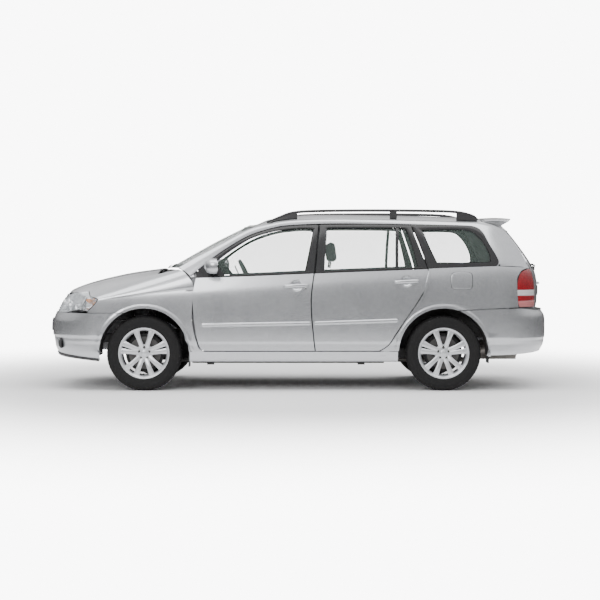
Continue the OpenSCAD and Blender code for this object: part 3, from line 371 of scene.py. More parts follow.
def tube(path, radius, sides=16, look=0, squash=1.0, up=(0, 0, 1)):
    # a circle (or an ellipse) carried along a line, closed at both ends with rounded caps
    p = np.asarray(path, float)
    r = np.broadcast_to(np.asarray(radius, float), (len(p),)).copy()
    t = np.gradient(p, axis=0)
    t /= np.linalg.norm(t, axis=1, keepdims=True)
    ends = np.array([0.0, 0.55, 0.85, 1.0])
    r = np.concatenate([r[0] * ends[:3], r, r[-1] * ends[2::-1]])
    back = np.array([1.0, 0.85, 0.55])[:, None]
    p = np.concatenate([p[:1] - t[:1] * back * r[3] * 0.5, p, p[-1:] + t[-1:] * back[::-1] * r[-4] * 0.5])
    t = np.concatenate([t[:1]] * 3 + [t] + [t[-1:]] * 3)
    side = np.cross(t, np.asarray(up, float))
    side /= np.maximum(np.linalg.norm(side, axis=1, keepdims=True), 1e-9)
    top = np.cross(side, t)
    a = np.linspace(0, 2 * math.pi, sides, endpoint=False)
    g = (p[:, None] + side[:, None] * (r[:, None] * np.cos(a))[..., None]
         + top[:, None] * (r[:, None] * np.sin(a))[..., None] * squash)
    return closed(g, gridFaces(len(p), sides, False, True), look)


def block(low, high, radius=6.0, look=0, bulge=0.0, n=12):
    # a box with rounded edges: rounded rectangles stacked up, drawn in to a point at both ends
    low, high = np.asarray(low, float), np.asarray(high, float)
    middle, half = (low + high) / 2, (high - low) / 2
    radius = min(radius, half.min() * 0.98)
    quarter = np.linspace(0, math.pi / 2, 5)
    inset = np.concatenate([[1e3], radius * (1 - np.sin(quarter)), np.zeros(n - 1),
                            radius * (1 - np.cos(quarter)), [1e3]])
    rise = np.concatenate([[-half[2]], -half[2] + radius * (1 - np.cos(quarter)),
                           np.linspace(-half[2] + radius, half[2] - radius, n + 1)[1:-1],
                           half[2] - radius * (1 - np.sin(quarter)), [half[2]]])
    a = np.linspace(0, 2 * math.pi, 64, endpoint=False) + math.pi / 64
    cx, cy = np.cos(a), np.sin(a)
    k = radius / np.minimum(half[0], half[1])
    power = 2 / np.clip(2 + 14 * (1 - k), 2, 16)
    sx, sy = np.sign(cx) * np.abs(cx) ** power, np.sign(cy) * np.abs(cy) ** power
    swell = 1 + bulge * np.cos(rise / half[2] * math.pi / 2) ** 2
    hx, hy = np.clip(half[0] - inset, 0, None) * swell, np.clip(half[1] - inset, 0, None) * swell
    g = np.stack([hx[:, None] * sx, hy[:, None] * sy, rise[:, None] + 0 * sx], -1) + middle
    return closed(g, gridFaces(len(rise), 64, False, True), look)


def mirrored(forms):
    return [(p * [1, -1, 1], f[:, ::-1], look) for p, f, look in forms]


def bothSides(forms):
    return forms + mirrored(forms)


def moved(forms, move):
    return [(p + np.asarray(move, float), f, look) for p, f, look in forms]


def turned(forms, axis, degrees, centre):
    # forms turned about an axis through the centre
    m = np.array(Matrix.Rotation(math.radians(degrees), 3, axis))
    c = np.asarray(centre, float)
    return [((p - c) @ m.T + c, f, look) for p, f, look in forms]


def makePiece(name, forms, body, finishes, hides=(), bevel=0.0, crease=38.0):
    # one object from the forms; finishes holds the names of its materials, and a form's number picks one
    points, faces, picks, start = [], [], [], 0
    for p, f, look in forms:
        points.append(p)
        faces.append(f + start)
        picks.append(np.full(len(f), look))
        start += len(p)
    points, faces, picks = np.concatenate(points), np.concatenate(faces), np.concatenate(picks)
    points = (points + [wagon["shift"], 0, 0]) / 1000
    mesh = bpy.data.meshes.new(name)
    mesh.vertices.add(len(points))
    mesh.vertices.foreach_set("co", points.astype(np.float32).ravel())
    mesh.loops.add(faces.size)
    mesh.loops.foreach_set("vertex_index", faces.astype(np.int32).ravel())
    mesh.polygons.add(len(faces))
    mesh.polygons.foreach_set("loop_start", np.arange(len(faces), dtype=np.int32) * 4)
    mesh.polygons.foreach_set("material_index", picks.astype(np.int32))
    mesh.update(calc_edges=True)
    work = bmesh.new()
    work.from_mesh(mesh)
    bmesh.ops.remove_doubles(work, verts=work.verts, dist=2e-6)
    bmesh.ops.dissolve_degenerate(work, edges=work.edges, dist=1e-6)
    work.to_mesh(mesh)
    work.free()
    mesh.polygons.foreach_set("use_smooth", np.ones(len(mesh.polygons), bool))
    mesh.set_sharp_from_angle(angle=math.radians(crease))
    mesh.update()
    obj = bpy.data.objects.new(name, mesh)
    bpy.context.scene.collection.objects.link(obj)
    for finish in finishes.split():
        mesh.materials.append(looks[finish])
    if bevel:
        edge = obj.modifiers.new("edges", "BEVEL")
        edge.width, edge.segments, edge.limit_method = bevel / 1000, 2, "ANGLE"
        edge.angle_limit, edge.harden_normals = math.radians(50), True
    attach(obj, body)
    if hides:
        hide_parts(*hides)
    return obj


# materials

class Value:
    # a number that varies over a surface; sums and products of it add Math nodes
    def __init__(self, maker, socket):
        self.maker, self.socket = maker, socket

    def __add__(self, other):
        return self.maker.math("ADD", self, other)

    def __sub__(self, other):
        return self.maker.math("SUBTRACT", self, other)

    def __rsub__(self, other):
        return self.maker.math("SUBTRACT", other, self)

    def __mul__(self, other):
        return self.maker.math("MULTIPLY", self, other)

    def power(self, other):
        return self.maker.math("POWER", self, other)

    __radd__, __rmul__ = __add__, __mul__


class Finish:
    # one material: its Principled shader, and the nodes that feed it
    def __init__(self, name, **settings):
        self.material = bpy.data.materials.new(name)
        self.material.use_nodes = True
        self.tree = self.material.node_tree
        self.tree.nodes.clear()
        self.output = self.tree.nodes.new("ShaderNodeOutputMaterial")
        self.shader = self.tree.nodes.new("ShaderNodeBsdfPrincipled")
        self.tree.links.new(self.shader.outputs[0], self.output.inputs[0])
        self.place = self.add("TexCoord", output="Object")
        self.set(**settings)

    def add(self, kind, settings=None, inputs=None, output=0):
        node = self.tree.nodes.new("ShaderNode" + kind)
        for key, value in (settings or {}).items():
            if key == "stops":
                ramp = node.color_ramp
                while len(ramp.elements) < len(value):
                    ramp.elements.new(0.5)
                for element, (at, colour) in zip(ramp.elements, value):
                    element.position, element.color = at, (*colour, 1)
            else:
                setattr(node, key, value)
        for key, value in (inputs or {}).items():
            if isinstance(value, Value):
                self.tree.links.new(value.socket, node.inputs[key])
            else:
                node.inputs[key].default_value = value
        return Value(self, node.outputs[output])

    def set(self, **settings):
        for key, value in settings.items():
            socket = self.shader.inputs[key.replace("_", " ")]
            if isinstance(value, Value):
                self.tree.links.new(value.socket, socket)
            else:
                socket.default_value = (*value, 1) if isinstance(value, tuple) and len(value) == 3 else value
        return self

    def math(self, operation, first, second=0.0):
        return self.add("Math", {"operation": operation}, {0: first, 1: second})

    def noise(self, scale, detail=2.0, roughness=0.5, place=None):
        return self.add("TexNoise", {"noise_dimensions": "3D"},
                        {"Vector": place or self.place, "Scale": scale, "Detail": detail,
                         "Roughness": roughness})

    def stretched(self, scale):
        return self.add("Mapping", {"vector_type": "POINT"}, {"Vector": self.place, "Scale": scale})

    def axis(self, name, place=None):
        return self.add("SeparateXYZ", {}, {0: place or self.place}, "XYZ".index(name))

    def blend(self, amount, first, second):
        node = self.tree.nodes.new("ShaderNodeMix")
        node.data_type = "RGBA"
        for key, value in (("A", first), ("B", second)):
            socket = [s for s in node.inputs if s.name == key and s.type == "RGBA"][0]
            if isinstance(value, Value):
                self.tree.links.new(value.socket, socket)
            else:
                socket.default_value = (*value, 1)
        self.tree.links.new(amount.socket, node.inputs[0])
        return Value(self, [s for s in node.outputs if s.type == "RGBA"][0])

    def step(self, value, low, high):
        # 0 below low, 1 above high, smooth between
        return self.add("MapRange", {"interpolation_type": "SMOOTHSTEP"},
                        {"Value": value, "From Min": low, "From Max": high})

    def bump(self, height, distance, strength=1.0):
        return self.add("Bump", {}, {"Height": height, "Distance": distance, "Strength": strength})


def paintFinish(name, light, dark, metallic, roughness):
    # metal flakes: fine noise between two shades; a faint long unevenness under clear coat
    f = Finish(name, Metallic=metallic, Coat_Weight=1.0, Coat_Roughness=0.03, Coat_IOR=1.5)
    flakes, wide = f.noise(2600.0, 1.0), f.noise(5.0, 3.0)
    f.set(Base_Color=f.blend(f.step(flakes, 0.3, 0.7) * 0.75 + wide * 0.25, dark, light),
          Roughness=roughness + (flakes - 0.5) * 0.12 + (wide - 0.5) * 0.05,
          Normal=f.bump(flakes, 0.00002, 0.25))
    return f.material


def plasticFinish(name, dark, light, roughness, grain=900.0, depth=0.00012):
    # moulded grain: cells of noise as bump; the same cells darken the colour in the grain's hollows as
    # painted shade, and wide noise gives an uneven tone
    f = Finish(name)
    cells, wide = f.noise(grain, 2.0), f.noise(14.0, 4.0)
    # painted shade: the cells' share of the colour makes the hollows of the bump darker
    f.set(Base_Color=f.blend(wide * 0.7 + cells * 0.3, dark, light),
          Roughness=roughness + (wide - 0.5) * 0.16, Normal=f.bump(cells, depth, 0.5))
    return f.material


def metalFinish(name, dark, light, roughness, stretch=(60.0, 900.0, 900.0), depth=0.00003):
    # brushed metal: noise drawn out along one direction
    f = Finish(name, Metallic=1.0)
    brush, wide = f.noise(1.0, 2.0, place=f.stretched(stretch)), f.noise(9.0, 3.0)
    f.set(Base_Color=f.blend(brush * 0.6 + wide * 0.4, dark, light),
          Roughness=roughness + (brush - 0.5) * 0.12, Normal=f.bump(brush, depth, 0.3))
    return f.material


def glassFinish(name, tint, clear, edge):
    # tinted glass: opacity rises from clear, seen straight on, to edge at a glancing angle
    f = Finish(name, Specular_IOR_Level=0.8, IOR=1.5)
    glance = f.add("LayerWeight", {}, {"Blend": 0.28}, "Facing")
    dust = f.noise(22.0, 5.0)
    f.set(Base_Color=f.blend(dust, tint, tuple(c * 1.25 for c in tint)), Roughness=0.02 + dust * 0.03,
          Alpha=clear + glance * (edge - clear) + (dust - 0.5) * 0.02)
    f.material.blend_method = "BLEND"
    return f.material


def lensFinish(name, tint, dark, alpha, flutes=150.0, depth=0.0006):
    # moulded lens: upright flutes as a sine of x + y, and lying ones as a sine of z
    f = Finish(name, IOR=1.49, Coat_Weight=1.0, Coat_Roughness=0.02)
    x, y, z = (f.axis(a) for a in "XYZ")
    upright, lying = (x + y) * (flutes * 2 * math.pi), z * 420.0
    flute, level = f.math("SINE", upright), f.math("SINE", lying)
    f.set(Base_Color=f.blend(flute * 0.3 + level * 0.15 + 0.5, dark, tint),
          Roughness=0.12 + f.noise(40.0) * 0.08,
          Alpha=alpha + level * 0.03, Normal=f.bump(flute + level * 0.5, depth, 0.5))
    return f.material


def clothFinish(name, dark, light, thread=420.0):
    # plain weave: the product of two sine ribs at right angles, with mottled yarn
    f = Finish(name, Roughness=0.92, Sheen_Weight=0.35, Sheen_Roughness=0.5)
    x, y, z = (f.axis(a) for a in "XYZ")
    along, across = (x + z) * (thread * 2 * math.pi), y * (thread * 2 * math.pi)
    weave = f.math("SINE", along) * f.math("SINE", across) * 0.5 + 0.5
    yarn = f.noise(60.0, 5.0)
    f.set(Base_Color=f.blend(weave * 0.5 + yarn * 0.5, dark, light),
          Normal=f.bump(weave + yarn * 0.4, 0.0006, 0.6))
    return f.material


def tyreFinish():
    # rubber: dust as wide noise, pores as fine noise; the rings and blocks are in the shape
    f = Finish("tyreRubber", Specular_IOR_Level=0.3)
    pores, dust = f.noise(700.0, 2.0), f.noise(18.0, 5.0)
    f.set(Base_Color=f.blend(dust, (0.003, 0.003, 0.004), (0.012, 0.0115, 0.011)),
          Roughness=0.62 + dust * 0.25, Normal=f.bump(pores, 0.0002, 0.5))
    return f.material


looks = {
    "paint": paintFinish("silverPaint", (0.66, 0.67, 0.69), (0.50, 0.51, 0.53), 0.86, 0.27),
    "alloy": paintFinish("wheelPaint", (0.74, 0.75, 0.77), (0.56, 0.57, 0.59), 0.75, 0.34),
    "gloss": plasticFinish("glossBlack", (0.008, 0.008, 0.009), (0.02, 0.02, 0.021), 0.16, 300.0, 0.00002),
    "black": plasticFinish("grainedBlack", (0.014, 0.014, 0.015), (0.035, 0.035, 0.036), 0.5),
    "seal": plasticFinish("sealRubber", (0.01, 0.01, 0.01), (0.022, 0.022, 0.022), 0.72, 1400.0),
    "under": plasticFinish("underbody", (0.02, 0.02, 0.021), (0.05, 0.048, 0.045), 0.75, 240.0, 0.0005),
    "cabin": plasticFinish("cabinPlastic", (0.05, 0.052, 0.055), (0.095, 0.097, 0.1), 0.62, 700.0, 0.0003),
    "lining": clothFinish("roofLining", (0.42, 0.42, 0.41), (0.55, 0.55, 0.54), 260.0),
    "cloth": clothFinish("seatCloth", (0.10, 0.105, 0.115), (0.21, 0.215, 0.225)),
    "carpet": clothFinish("floorCarpet", (0.03, 0.03, 0.033), (0.08, 0.08, 0.085), 180.0),
    "chrome": metalFinish("chromeTrim", (0.78, 0.79, 0.8), (0.9, 0.9, 0.91), 0.08),
    "disc": metalFinish("brakeDisc", (0.07, 0.07, 0.07), (0.16, 0.155, 0.15), 0.45),
    "cast": metalFinish("castMetal", (0.16, 0.16, 0.165), (0.34, 0.34, 0.345), 0.55,
                        (260.0, 260.0, 260.0), 0.0004),
    "pipe": metalFinish("exhaustSteel", (0.22, 0.2, 0.18), (0.46, 0.44, 0.42), 0.42),
    "glass": glassFinish("windowGlass", (0.08, 0.11, 0.095), 0.24, 0.66),
    "mirror": metalFinish("mirrorGlass", (0.7, 0.72, 0.74), (0.8, 0.82, 0.84), 0.03),
    "clearLens": glassFinish("clearLens", (0.55, 0.58, 0.6), 0.08, 0.75),
    "redLens": lensFinish("redLens", (0.42, 0.012, 0.018), (0.16, 0.004, 0.008), 1.0),
    "whiteLens": lensFinish("whiteLens", (0.86, 0.84, 0.84), (0.55, 0.52, 0.52), 1.0),
    "pinkLens": lensFinish("paleRedLens", (0.72, 0.28, 0.28), (0.45, 0.12, 0.12), 1.0),
    "orangeLens": lensFinish("orangeLens", (0.9, 0.32, 0.03), (0.6, 0.16, 0.01), 1.0),
    "tyre": tyreFinish(),
    "plate": plasticFinish("plateWhite", (0.72, 0.72, 0.7), (0.8, 0.8, 0.78), 0.4, 600.0, 0.00003),
}
print("finishes made:", len(looks))

cadFinishes = {
    "floor_pan": "under", "wheel_arch_liners": "under", "mud_flaps": "black", "engine_block": "cast",
    "fuel_tank": "black", "exhaust": "pipe", "front_subframe": "under", "rear_axle_beam": "under",
    "front_knuckle_left": "cast", "front_knuckle_right": "cast", "cowl_panel": "black",
}
for nodeName, finish in cadFinishes.items():
    nodes[nodeName].data.materials.clear()
    nodes[nodeName].data.materials.append(looks[finish])

# the painted body

outlines = {
    "doorFront": [[-764, 347], [-812, 372], [-850, 516], [-872, 715], [-872, 859], [-848, 978]],
    "doorSplit": [[185, 347], [169, 483], [154, 660], [152, 825], [176, 1016]],
    "doorBack": [[738, 347], [815, 395], [882, 494], [970, 627], [1069, 770], [1158, 924], [1168, 1001],
                 [1161, 1054]],
    "frontFrameOut": [[-848, 976], [-836, 1036], [-719, 1132], [-557, 1247], [-379, 1348], [-175, 1411],
                      [8, 1435], [130, 1440], [210, 1440], [211, 1400], [194, 1220], [174, 1010]],
    "frontFrameIn": [[-598, 996], [-640, 1050], [-682, 1108], [-550, 1222], [-372, 1320], [-172, 1384],
                     [4, 1408], [110, 1412], [168, 1404], [170, 1380], [135, 1200], [94, 1000]],
    "rearFrameOut": [[190, 1010], [209, 1220], [229, 1400], [231, 1441], [330, 1445], [700, 1447],
                     [960, 1441], [1028, 1438], [1038, 1405], [1090, 1260], [1140, 1120], [1158, 1050]],
    "rearFrameIn": [[265, 1010], [276, 1200], [288, 1385], [296, 1410], [335, 1416], [700, 1416],
                    [940, 1412], [985, 1402], [1000, 1370], [1040, 1240], [1072, 1110], [1083, 1045]],
    "quarterOut": [[1176, 1062], [1150, 1140], [1103, 1270], [1050, 1405], [1040, 1444], [1200, 1449],
                   [1475, 1444], [1592, 1432], [1663, 1384], [1716, 1278], [1780, 1157], [1790, 1108],
                   [1770, 1076], [1500, 1066], [1300, 1060]],
    "quarterIn": [[1250, 1112], [1225, 1165], [1180, 1270], [1140, 1370], [1124, 1394], [1200, 1400],
                  [1450, 1402], [1545, 1390], [1600, 1355], [1662, 1280], [1708, 1185], [1712, 1140],
                  [1695, 1113], [1480, 1112], [1310, 1112]],
    "bandLow": [[-900, 996], [-719, 1147], [-557, 1260], [-379, 1358], [-175, 1421], [8, 1445],
                [414, 1457], [1131, 1447], [1475, 1440], [1589, 1428], [1655, 1382], [1708, 1278],
                [1772, 1159], [1784, 1112], [1765, 1080]],
    "bandHigh": [[-1004, 758, 1067], [-800, 715, 1188], [-610, 668, 1296], [-394, 622, 1409],
                 [-210, 600, 1456], [0, 592, 1488], [414, 590, 1500], [1131, 584, 1491], [1475, 582, 1478],
                 [1660, 584, 1468], [1800, 592, 1425], [1888, 604, 1355], [1995, 652, 1189],
                 [2035, 680, 1112],
                 [2060, 696, 1068]],
}


def frameRing(out, inside, sink, depth, look=0, ring=False, per=6, across=4):
    # a band on the window surface between two outlines, with rounded section
    t = np.arange((len(out) - (0 if ring else 1)) * per + (0 if ring else 1)) / per
    close = lambda p: p + [p[0]] if ring else p
    a, b = through(close(out), t), through(close(inside), t)
    g = ribbon(a, b, across)
    s = np.linspace(-1, 1, across + 1)
    crown = 2.0 * (1 - s ** 4)
    outer = onWindow(g, sink)
    outer[..., 1] += crown[None]
    return shell(outer, onWindow(g, sink + depth), look, ring)


def wall(levels, look=0):
    # a post from levels of [z, first x, last x, outer y, inner y]
    l = np.asarray(steps(levels, 24, True), float)
    outer, inner = (np.stack([l[:, [1, y, 0]], l[:, [2, y, 0]]], 1) for y in (3, 4))
    return shell(outer, inner, look)


quarter = {"along": 64, "up": 44, "depth": 18.0}
behindDoor = [[750, 343]] + [[x + 12, z] for x, z in outlines["doorBack"][1:]] + [[1172, 1058]]
lower = np.concatenate([[[905, 343]], arch(1300, 176, 125, 40), arch(1300, 125, 72.5, 22)[1:],
                        steps([[1418, 697], [1700, 712], [1955, 722]], 22)[1:]])
upper = np.concatenate([steps(behindDoor, 41), steps([[1172, 1058], [1300, 1064], [1765, 1080]], 22)[1:],
                        steps([[1765, 1080], [2060, 1068]], 22)[1:]])
rearEdge = [[1955, 722], [1945, 769], [1939, 956], [1958, 1010], [1990, 1046], [2060, 1068]]
# ruled between the two lines; the curve of the rear edge dies out forwards as u^8
u = np.linspace(0, 1, len(lower))[:, None, None]
v = np.linspace(0, 1, quarter["up"] + 1)[None, :, None]
rear = steps(rearEdge, quarter["up"])[None]
bulge = rear - mix(rear[:, :1], rear[:, -1:], v)
quarterGrid = onSide(mix(lower[:, None], upper[:, None], v) + bulge * u ** 8)

t = np.arange(len(outlines["bandLow"]) * 6 - 5) / 6
low, high = through(outlines["bandLow"], t), through(outlines["bandHigh"], t)
low = np.stack([low[:, 0], windowY(low[:, 0], low[:, 1]) + 3, low[:, 1]], -1)
s = np.linspace(0, 1, 9)[None, :, None]
bandOuter = mix(low[:, None], high[:, None], s) + np.array([0, 9, 7]) * 4 * s * (1 - s)
bandInner = bandOuter - mix(np.array([0, 30, 0]), np.array([0, 0, 9]), s)

sideForms = [panel(quarterGrid, quarter["depth"]), shell(bandOuter, bandInner)]
# the sill: a rounded strip under the doors
sillLine = np.array([[838, 338], [836, 325], [831, 300], [825, 275], [819, 256], [812, 251], [760, 250]],
                    float)
x = np.linspace(-903, 903, 40)[:, None]
sillOuter = grid(x, sillLine[None, :, 0], sillLine[None, :, 1])
sillInner = sillOuter * [1, 0, 0] + np.array([0, 708, 0]) + (sillOuter * [0, 0, 1]) * 0.8 + [0, 0, 60]
sideForms.append(shell(sillOuter, sillInner))
posts = [
    wall([[300, 140, 250, 735, 690], [1000, 140, 250, 735, 690], [1240, 165, 255, 684, 648],
          [1440, 175, 275, 588, 560], [1471, 180, 280, 598, 563]], 1),
    wall([[300, 745, 800, 832, 700], [395, 829, 867, 836, 700], [494, 896, 934, 838, 700],
          [627, 984, 1022, 840, 700], [770, 1083, 1130, 840, 700], [924, 1173, 1230, 836, 700],
          [1020, 1186, 1250, 810, 700]], 0),
    wall([[300, -890, -800, 745, 700], [900, -890, -830, 745, 700], [1012, -900, -850, 742, 700]], 0),
    wall([[985, -900, -868, 778, 700], [1030, -930, -880, 772, 720]], 0),
    frameRing([[1184, 1010], [1152, 1120], [1104, 1262], [1054, 1400], [1046, 1440]],
              [[1240, 1010], [1225, 1120], [1180, 1262], [1140, 1370], [1130, 1440]], 28, 38, 1),
    frameRing(outlines["quarterOut"], outlines["quarterIn"], 0, 30, 2, True),
]
makePiece("bodySides", bothSides(sideForms + posts), "body", "paint cabin gloss",
          ["body_sides"], bevel=2.0)

s = np.linspace(-1, 1, 41)[None]
t = np.linspace(0, 1, 61)[:, None]
edgeY = wagon["screenHalfTop"] * s
frontX = screenX(edgeY, wagon["screenTop"])
x = mix(frontX, 1664, t)
y = mix(edgeY, (curve(lines["roofSide"], x) + 0.5) * s, smooth(t * 12))
z = mix(wagon["screenTop"] - 26 * s * s + 0 * x, roofZ(x, y), smooth(t * 12))
roofGrid = np.stack([x, y, z], -1)
makePiece("roofPanel", [panel(roofGrid, 16)], "body", "paint", ["roof_panel"], bevel=2.0)
lining = {"drop": 22.0, "thick": 3.0}
liningGrid = roofGrid[3:-2, 2:-2] - [0, 0, lining["drop"]]
makePiece("roofLining", [panel(liningGrid, lining["thick"])], "body", "lining")

wing = {
    "frontX": [[0, -1800], [0.2, -1765], [0.3, -1722], [0.36, -1694], [0.45, -1700], [0.6, -1722],
               [0.75, -1750],
               [0.9, -1780], [1, -1788]],
    "backX": [[0, -1012], [0.12, -962], [0.25, -914], [0.36, -872], [0.42, -866], [0.5, -874], [0.58, -882],
              [0.7, -883],
              [0.83, -864], [0.92, -840], [0.967, -824], [1, -780]],
    "shoulder": 0.4, "along": 80, "down": 56,
}
v = np.linspace(0, 1, wing["down"] + 1)[None]
u = np.linspace(0, 1, wing["along"] + 1)[:, None]
x = mix(curve(wing["frontX"], v), curve(wing["backX"], v), u)
top = wingTop(x, np.minimum(1, v / wing["shoulder"]))
# its lower edge is the arch's circle over the hub's height
rise = np.sqrt(np.clip(wagon["archRadius"] ** 2 - (x + wagon["axle"]) ** 2, 0, None))
archZ = wagon["hubHeight"] + rise
low = np.where(x < -1480, np.maximum(archZ, wagon["bumperTop"] + 4), np.maximum(archZ, 338))
down = np.clip((v - wing["shoulder"]) / (1 - wing["shoulder"]), 0, 1)
z = np.where(v <= wing["shoulder"], top[1], mix(top[1], low, down))
y = np.where(v <= wing["shoulder"], top[0], sideY(x, z))
wingGrid = np.stack([x, y, z], -1)
makePiece("frontFenders", bothSides([panel(wingGrid, 11)]), "body", "paint",
          ["front_fenders"], bevel=2.0)
print("sides, roof and wings made")


# doors

doors = {
    "front": {
        "bottom": [[-764, 347], [178, 347]], "belt": (-848, 174), "front": outlines["doorFront"],
        "rear": [[x - 4, z] for x, z in outlines["doorSplit"]], "handle": (21, 911),
        "moulding": (-808, 152, [[-808, 549], [152, 566]], [[-808, 588], [152, 604]]),
        "frame": ("frontFrameOut", "frontFrameIn"), "strip": (-640, 140), "armrest": (-540, 80),
        "pocket": (-660, 60),
    },
    "rear": {
        "bottom": [[192, 347], [738, 347]], "belt": (183, 1158),
        "front": [[x + 6, z] for x, z in outlines["doorSplit"]], "rear": outlines["doorBack"],
        "handle": (978, 947),
        "moulding": (175, 906, [[175, 566], [906, 590]], [[175, 604], [906, 628]]),
        "frame": ("rearFrameOut", "rearFrameIn"), "strip": (240, 1120), "armrest": (420, 860),
        "pocket": (300, 700),
    },
    "along": 110, "up": 90, "depth": 92.0, "cupRadius": 47.0, "cupDepth": 15.0, "mouldingRise": 13.0,
    "handleHalf": 105, "handleOut": 15, "handleBow": 7, "handleThick": 15, "footAt": 94,
}


def door(kind):
    # outer skin between four lines on the side, less a round cup behind the handle; inner skin drawn in
    d = doors[kind]
    n, m = doors["along"], doors["up"]
    x = np.linspace(*d["belt"], n + 1)
    belt = np.stack([x, curve(lines["belt"], x) + 1], -1)
    flat = fill(steps(d["bottom"], n), belt, steps(d["front"], m), steps(d["rear"], m))
    outer = onSide(flat)
    hx, hz = d["handle"]
    cup = np.hypot(outer[..., 0] - hx, outer[..., 2] - hz) / doors["cupRadius"]
    outer[..., 1] -= doors["cupDepth"] * smooth((1.0 - cup) / 0.45)
    v = np.linspace(0, 1, m + 1)[None]
    middle = flat.mean(0, keepdims=True)
    inX = mix(flat[..., 0], middle[..., 0], 0.035)
    inner = grid(inX, sideY(inX, flat[..., 1]) - doors["depth"] * (1 - 0.35 * v), flat[..., 1])
    forms = [shell(outer, inner)]
    out, inside = (outlines[k] for k in d["frame"])
    forms.append(frameRing(out, inside, 0, 32, 1, per=8, across=6))
    if kind == "rear":
        bar = [[884, 1040], [888, 1230], [896, 1420]], [[908, 1040], [913, 1230], [922, 1420]]
        forms.append(frameRing(*bar, 1, 26, 1))
    # the black strip along the belt, over the seal
    x = np.linspace(*d["strip"], 60)[:, None]
    beltZ = curve(lines["belt"], x)
    z = beltZ + np.linspace(-2, 16, 5)[None]
    crown = 4 * (1 - ((z - z.mean(1, keepdims=True)) / 9) ** 2)
    strip = grid(x, windowY(x, beltZ) + 3 + crown, z)
    forms.append(pushed(strip, [0, -12, 0], 3))
    # side moulding: a flat-crowned strip with rounded ends
    x0, x1, low, high = d["moulding"]
    u = np.linspace(0, 1, 72)[:, None]
    x = mix(x0, x1, u)
    bottom, top = curve(low, x), curve(high, x)
    half, centre = (top - bottom) / 2, (top + bottom) / 2
    end = np.minimum(x - x0, x1 - x)
    half = half * np.sqrt(np.clip(1 - np.clip(1 - end / 22, 0, 1) ** 2, 0.02, 1))
    s = np.linspace(-1, 1, 13)[None]
    z = centre + half * s
    rise = doors["mouldingRise"] * (1 - np.abs(s) ** 2.6) ** 0.7 * np.clip(end / 10, 0.05, 1) ** 0.5
    forms.append(shell(grid(x, sideY(x, z) + rise, z), grid(x, sideY(x, z) - 3, z), 0))
    # handle: a bowed bar held at both ends over its cup
    t = np.linspace(-1, 1, 33)
    x = hx + doors["handleHalf"] * t
    bar = grid(x, flank(x, hz + 4 * t) + doors["handleOut"] + doors["handleBow"] * (1 - t ** 2), hz + 5 * t)
    bar[[0, 1, -2, -1], 1] -= [12, 3, 3, 12]
    forms.append(tube(bar, doors["handleThick"] * (1 - 0.28 * t ** 4), 20, 0, 0.62, up=(0, 1, 0)))
    hy = flank(hx, hz)
    for foot in (hx - doors["footAt"], hx + doors["footAt"]):
        forms.append(block([foot - 9, hy - 6, hz - 10], [foot + 9, hy + 14, hz + 10], 5, 0))
    if kind == "front":
        lock = [(0.1, -2), (11, -2), (11, 5), (9, 7), (0.1, 7)]
        forms.append(lathe(lock, [hx + 84, hy + 2, hz - 26], 32, 4))
    # inner trim: armrest and pocket
    y = wagon["halfWidth"] - doors["depth"]
    for (x0, x1), low, high, out, radius in ((d["armrest"], 690, 742, (-44, 4), 18),
                                             (d["pocket"], 372, 492, (-30, 2), 14)):
        forms.append(block([x0, y + out[0], low], [x1, y + out[1], high], radius, 2))
    return forms


doorLooks = "paint gloss cabin seal chrome"
for kind in ("front", "rear"):
    forms = door(kind)
    for side, made in (("left", mirrored(forms)), ("right", forms)):
        body = f"{kind}_door_{side}"
        makePiece(f"{kind}Door_{side}", made, body, doorLooks, [body], bevel=2.2)


def pane(bottom, top, front, rear, n=40, m=24, sink=12.0):
    # a sheet of side glass between four lines
    g = fill(steps(bottom, n), steps(top, n), steps(front, m), steps(rear, m))
    return shell(onWindow(g, sink), onWindow(g, sink + 5))


glassForms = {
    "front": [pane([[-595, 996.8], [92, 1020.8]],
                   [[-678, 1107], [-550, 1217], [-373, 1314], [-173, 1378], [4, 1405], [108, 1409],
                    [165, 1401]],
                   [[-595, 996.8], [-637, 1050], [-678, 1107]], [[92, 1020.8], [133, 1200], [165, 1401]])],
    "rear": [pane([[268, 1028.8], [883, 1052.8]], [[298, 1406], [335, 1412], [894, 1412]],
                  [[268, 1028.8], [278, 1200], [298, 1406]], [[883, 1052.8], [887, 1230], [894, 1412]]),
             pane([[909.2, 1056], [1076, 1062]], [[922.8, 1409], [940, 1408], [981, 1399]],
                  [[909.2, 1056], [914, 1230], [922.8, 1409]], [[1076, 1062], [1036, 1240], [981, 1399]])],
}
for kind, forms in glassForms.items():
    for side, made in (("left", mirrored(forms)), ("right", forms)):
        makePiece(f"{kind}DoorGlass_{side}", made, f"{kind}_door_{side}", "glass",
                  [f"{kind}_door_glass_{side}"])

# door mirrors: a rounded housing, deepest outside, with its glass turned rearwards
mirror = {"centre": (-693, 930, 1081), "half": (74, 92, 66)}


def signed(w, p):
    # |w|^p with the sign of w
    return np.sign(w) * np.abs(w) ** p


